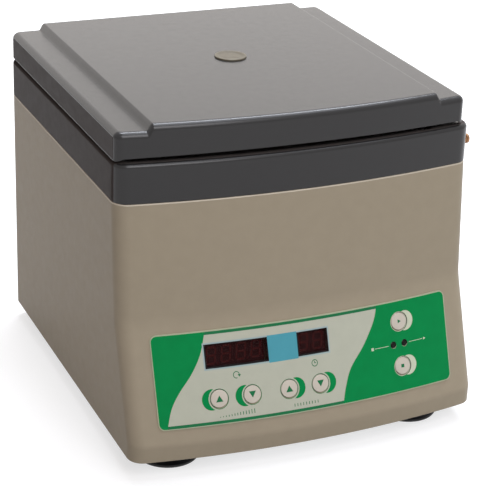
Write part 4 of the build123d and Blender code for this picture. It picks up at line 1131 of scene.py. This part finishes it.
def make_keys():
    """Round caps with soft edges and a printed mark each."""
    for name, (x, z) in key_places.items():
        axes = face_frame(x, z)
        edge = [(key_radius - inset, key_top - key_soft + rise) for inset, rise in rounding(key_soft, 4)]
        cap = lathe([(0.0, key_foot), (key_radius, key_foot), *edge, (0.0, key_top + key_crown)], axes, 56)
        sign = prism(key_mark(name), axes, key_top - print_root, key_top + print_lift)
        inks = [0] * len(cap[1]) + [1] * len(sign[1])
        slot = "key_film" if name in arrow_keys else "key_action"
        piece = add_piece(f"key_cap_{name}", *merged(cap, sign), f"key_{name}", slot,
                          ["key_cap", "deep_green"], inks)
        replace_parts(piece, f"key_{name}")


def make_lamps():
    """Two dark round lenses, each domed inside a fine collar."""
    radius, level = lamp_radius, film_thickness * lamp_collar
    dome = [(radius * lamp_collar * cos(turn), film_thickness * (lamp_bowl + (1 - lamp_bowl) * sin(turn)))
            for turn in spread(0, pi / 2, 8)]
    profile = [(0.0, lamp_foot), (radius, lamp_foot), (radius, level), (radius * lamp_lip, film_thickness),
               (radius * lamp_groove, level), *dome]
    parts = [lathe(profile, face_frame(x, lamp_row), 40) for x in lamp_x]
    piece = add_piece("lamps", *merged(*parts), "root", "led_dark")
    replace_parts(piece, "status_leds")


# ---------------------------------------------------------------- feet and release pin


def make_feet():
    """Rubber suction feet with a stepped neck and a thin ringed rim."""
    low, high = local_box("feet")
    radius, neck, height = foot_radius, foot_neck, -low.z
    ring = radius - foot_ring_width
    soft, rim = foot_rim_edge
    flare = [(neck + (radius - neck) * t**foot_flare,
              -foot_neck_height - (height - foot_rim_height) * sin(t * pi / 2)) for t in spread(0, 1, 10)]
    under = [(ring * t, -height + foot_hollow * (1 - t**2)) for t in spread(1, 0, 8)]
    profile = [(0.0, 0.0), (neck - foot_neck_soft, 0.0), (neck, -foot_neck_soft), *flare,
               (radius, -height + rim), (radius - soft, -height), *under]
    parts = [lathe(profile, Matrix.Translation((x, y, 0)), 72)
             for x in (low.x + radius, high.x - radius) for y in (low.y + radius, high.y - radius)]
    piece = add_piece("suction_feet", *merged(*parts), "root", "foot_rubber")
    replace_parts(piece, "feet")


def make_pin():
    """Turned brass end of the lock bolt, with a groove and a soft tip."""
    low, high = local_box("release_pin")
    radius, length = (high.z - low.z) / 2, high.x - low.x
    place = Vector((low.x, *node_middle("release_pin").yz))
    groove = [(radius - depth, along) for along, depth in pin_groove]
    tip = [(radius - inset, length - pin_soft + rise) for inset, rise in rounding(pin_soft, 5)]
    profile = [(0.0, 0.0), (radius, 0.0), *groove, *tip, (0.0, length)]
    piece = add_piece("brass_pin", *lathe(profile, axis_frame(place, (1, 0, 0)), 48), "lock", "pin_brass")
    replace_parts(piece, "release_pin")


# ---------------------------------------------------------------- screw heads


def islands(node):
    """Corners of each separate solid of a node, in the machine's frame."""
    work = bmesh.new()
    work.from_mesh(frame["nodes"][node].data)
    bmesh.ops.remove_doubles(work, verts=work.verts, dist=1e-6)
    seen, boxes = set(), []
    for start in work.verts:
        if start in seen:
            continue
        seen.add(start)
        group = [start]
        for vertex in group:
            others = {edge.other_vert(vertex) for edge in vertex.link_edges} - seen
            seen |= others
            group += others
        corners = [vertex.co for vertex in group]
        boxes.append([Vector([limit(values) for values in zip(*corners)]) - origin for limit in (min, max)])
    work.free()
    return boxes


def cross_head(place, direction, radius, height):
    """Pan head with a cross recess, seen from outside."""
    axes = axis_frame(place, direction)
    turns = spread(0, 2 * pi, 48)[:-1]
    rings = [[(radius * share, level)] * len(turns) for share, level in head_profile]
    for share, level in recess_profile:
        lobes = [max(abs(cos(turn)), abs(sin(turn)))**recess_power for turn in turns]
        arm = radius * recess_reach * share
        rings.append([(arm * (recess_waist + (1 - recess_waist) * lobe), level) for lobe in lobes])
    return loft([[axes @ Vector((reach * cos(turn), reach * sin(turn), height * level))
                  for turn, (reach, level) in zip(turns, ring)] for ring in rings], caps=True)


def make_screws():
    """Cross-headed screws that stand for the plain ones of each set."""
    sets = {
        "hinge_screws": ("root", (0, 1, 0)), "arm_screws": ("lid", (0, 1, 0)),
        "base_screws": ("root", (0, 0, -1)), "liner_screws": ("lid", (0, 0, -1)),
    }
    for node, (body, direction) in sets.items():
        outward = Vector(direction)
        parts = []
        for low, high in islands(node):
            middle = (low + high) / 2
            tip = high if sum(direction) > 0 else low
            place = middle + outward * (outward.dot(tip - middle) - head_height)
            parts.append(cross_head(place, direction, (high.x - low.x) / 2, head_height))
        piece = add_piece(node + "_heads", *merged(*parts), body, "screw_steel", sharp=40)
        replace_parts(piece, node)


# ---------------------------------------------------------------- carried-over solids


def dress_nodes():
    """Gives each solid that stays in sight the finish of its slot."""
    slots = {part["node"]: part["material_slot"] for part in frame["record"]["subparts"]}
    for name, piece in frame["nodes"].items():
        piece.data.materials.clear()
        piece.data.materials.append(materials.get(slots[name], materials["black_plastic"]))


# ---------------------------------------------------------------- camera, floor and light

floor_reach = 6.0
floor_shade = (0.44, 0.44, 0.44)
floor_glow, floor_roughness = 0.64, 0.9
floor_fade = (0.3, 1.5)
fill_strength = 0.34
fill_left = (0.25, 0.09, 0.02)
fill_right = (1.3, 1.32, 1.35)
machine_middle = (0, 0, 0.15)

# place, target, size across and along, radiance, tone
lamps = {
    "key_lamp": ((-0.15, -2.0, 2.1), machine_middle, (1.6, 1.5), 5.5, (252, 251, 255)),
    "top_lamp": ((0.6, 0.3, 2.2), (0.6, 0.3, 0), (1.5, 2.2), 3.7, (240, 245, 255)),
    "ceiling_lamp": ((0.5, 0.65, 2.15), (0.5, 0.65, 0), (1.6, 0.35), 23.0, (240, 245, 255)),
    "rear_lamp": ((0.4, 2.4, 1.1), (0, 0, 0.3), (5.0, 1.8), 0.75, (255, 244, 234)),
}


def make_camera():
    """Camera at the photograph's place, with its small roll."""
    back = Vector((sin(view_azimuth) * cos(view_elevation), -cos(view_azimuth) * cos(view_elevation),
                   sin(view_elevation)))
    right = (-back).cross(Vector((0, 0, 1))).normalized()
    up = right.cross(-back)
    rolled_right = right * cos(view_roll) + up * sin(view_roll)
    rolled_up = up * cos(view_roll) - right * sin(view_roll)
    data = bpy.data.cameras.new("camera")
    data.lens = view_lens
    camera = new_object("camera", data)
    camera.matrix_world = frame_at(view_place, rolled_right, rolled_up, back)
    bpy.context.scene.camera = camera


def seen_ray(tree):
    """1 for rays from the camera, a mirror or glass; 0 for the light that falls on things."""
    path = add_node(tree, "ShaderNodeLightPath")
    total = path.outputs["Is Camera Ray"]
    for name in ("Is Glossy Ray", "Is Transmission Ray"):
        larger = add_node(tree, "ShaderNodeMath", {0: total, 1: path.outputs[name]}, operation="MAXIMUM")
        total = larger.outputs[0]
    return total


def make_world():
    """White surroundings, dimmer as a light than as a background."""
    world = bpy.data.worlds.new("studio")
    bpy.context.scene.world = world
    world.use_nodes = True
    tree = world.node_tree
    direction = add_node(tree, "ShaderNodeTexCoord").outputs["Generated"]
    across = add_node(tree, "ShaderNodeSeparateXYZ", {0: direction}).outputs["X"]
    share = add_node(tree, "ShaderNodeMapRange", {"From Min": -1, "Value": across}).outputs["Result"]
    tones = add_node(tree, "ShaderNodeMix", {0: share, 6: (*fill_left, 1), 7: (*fill_right, 1)},
                     data_type="RGBA")
    fill = tree.nodes["Background"]
    feed(tree, fill, {"Strength": fill_strength, "Color": tones.outputs[2]})
    seen = add_node(tree, "ShaderNodeBackground", {"Color": (1, 1, 1, 1)})
    mix = add_node(tree, "ShaderNodeMixShader", {0: seen_ray(tree), 1: fill.outputs[0], 2: seen.outputs[0]})
    feed(tree, tree.nodes["World Output"], {"Surface": mix.outputs[0]})


def make_floor():
    """Pale floor that keeps the soft shadow beside the machine and is white further off."""
    mesh = bpy.data.meshes.new("floor")
    corners = rectangle(-floor_reach, floor_reach, -floor_reach, floor_reach)
    mesh.from_pydata([(x, y, 0) for x, y in corners], [], [(0, 1, 2, 3)])
    material = bpy.data.materials.new("pale_floor")
    material.use_nodes = True
    tree = material.node_tree
    place = add_node(tree, "ShaderNodeTexCoord").outputs["Object"]
    distance = add_node(tree, "ShaderNodeVectorMath", {0: place}, operation="LENGTH").outputs["Value"]
    fade = add_node(tree, "ShaderNodeMapRange", {
        "Value": distance, "From Min": floor_fade[0], "From Max": floor_fade[1], "To Min": floor_glow,
        "To Max": 1.0}, interpolation_type="SMOOTHSTEP").outputs["Result"]
    gain = add_node(tree, "ShaderNodeMath", {0: seen_ray(tree), 1: fade}, operation="MULTIPLY").outputs[0]
    feed(tree, tree.nodes["Principled BSDF"], {
        "Base Color": (*floor_shade, 1), "Roughness": floor_roughness, "Specular IOR Level": 0.0,
        "Emission Color": (1, 1, 1, 1), "Emission Strength": gain})
    mesh.materials.append(material)
    floor = new_object("floor", mesh)


def make_lamp(name, place, target, size, radiance, tone):
    """Soft rectangular lamp that the camera doesn't see."""
    data = bpy.data.lights.new(name, "AREA")
    data.shape = "RECTANGLE"
    data.size, data.size_y = size
    data.energy = radiance * pi * size[0] * size[1]
    data.color = linear(tone)
    facing = (Vector(target) - Vector(place)).to_track_quat("-Z", "Y")
    lamp = new_object(name, data)
    lamp.matrix_world = Matrix.Translation(place) @ facing.to_matrix().to_4x4()
    lamp.visible_camera = False


make_camera()
make_world()
make_floor()
for name, settings in lamps.items():
    make_lamp(name, *settings)
dress_nodes()
make_cabinet()
make_cover()
make_gasket()
make_lid()
make_port()
make_film()
make_windows()
make_digits()
make_keys()
make_lamps()
make_feet()
make_pin()
make_screws()

bpy.context.scene.view_settings.view_transform = "Standard"
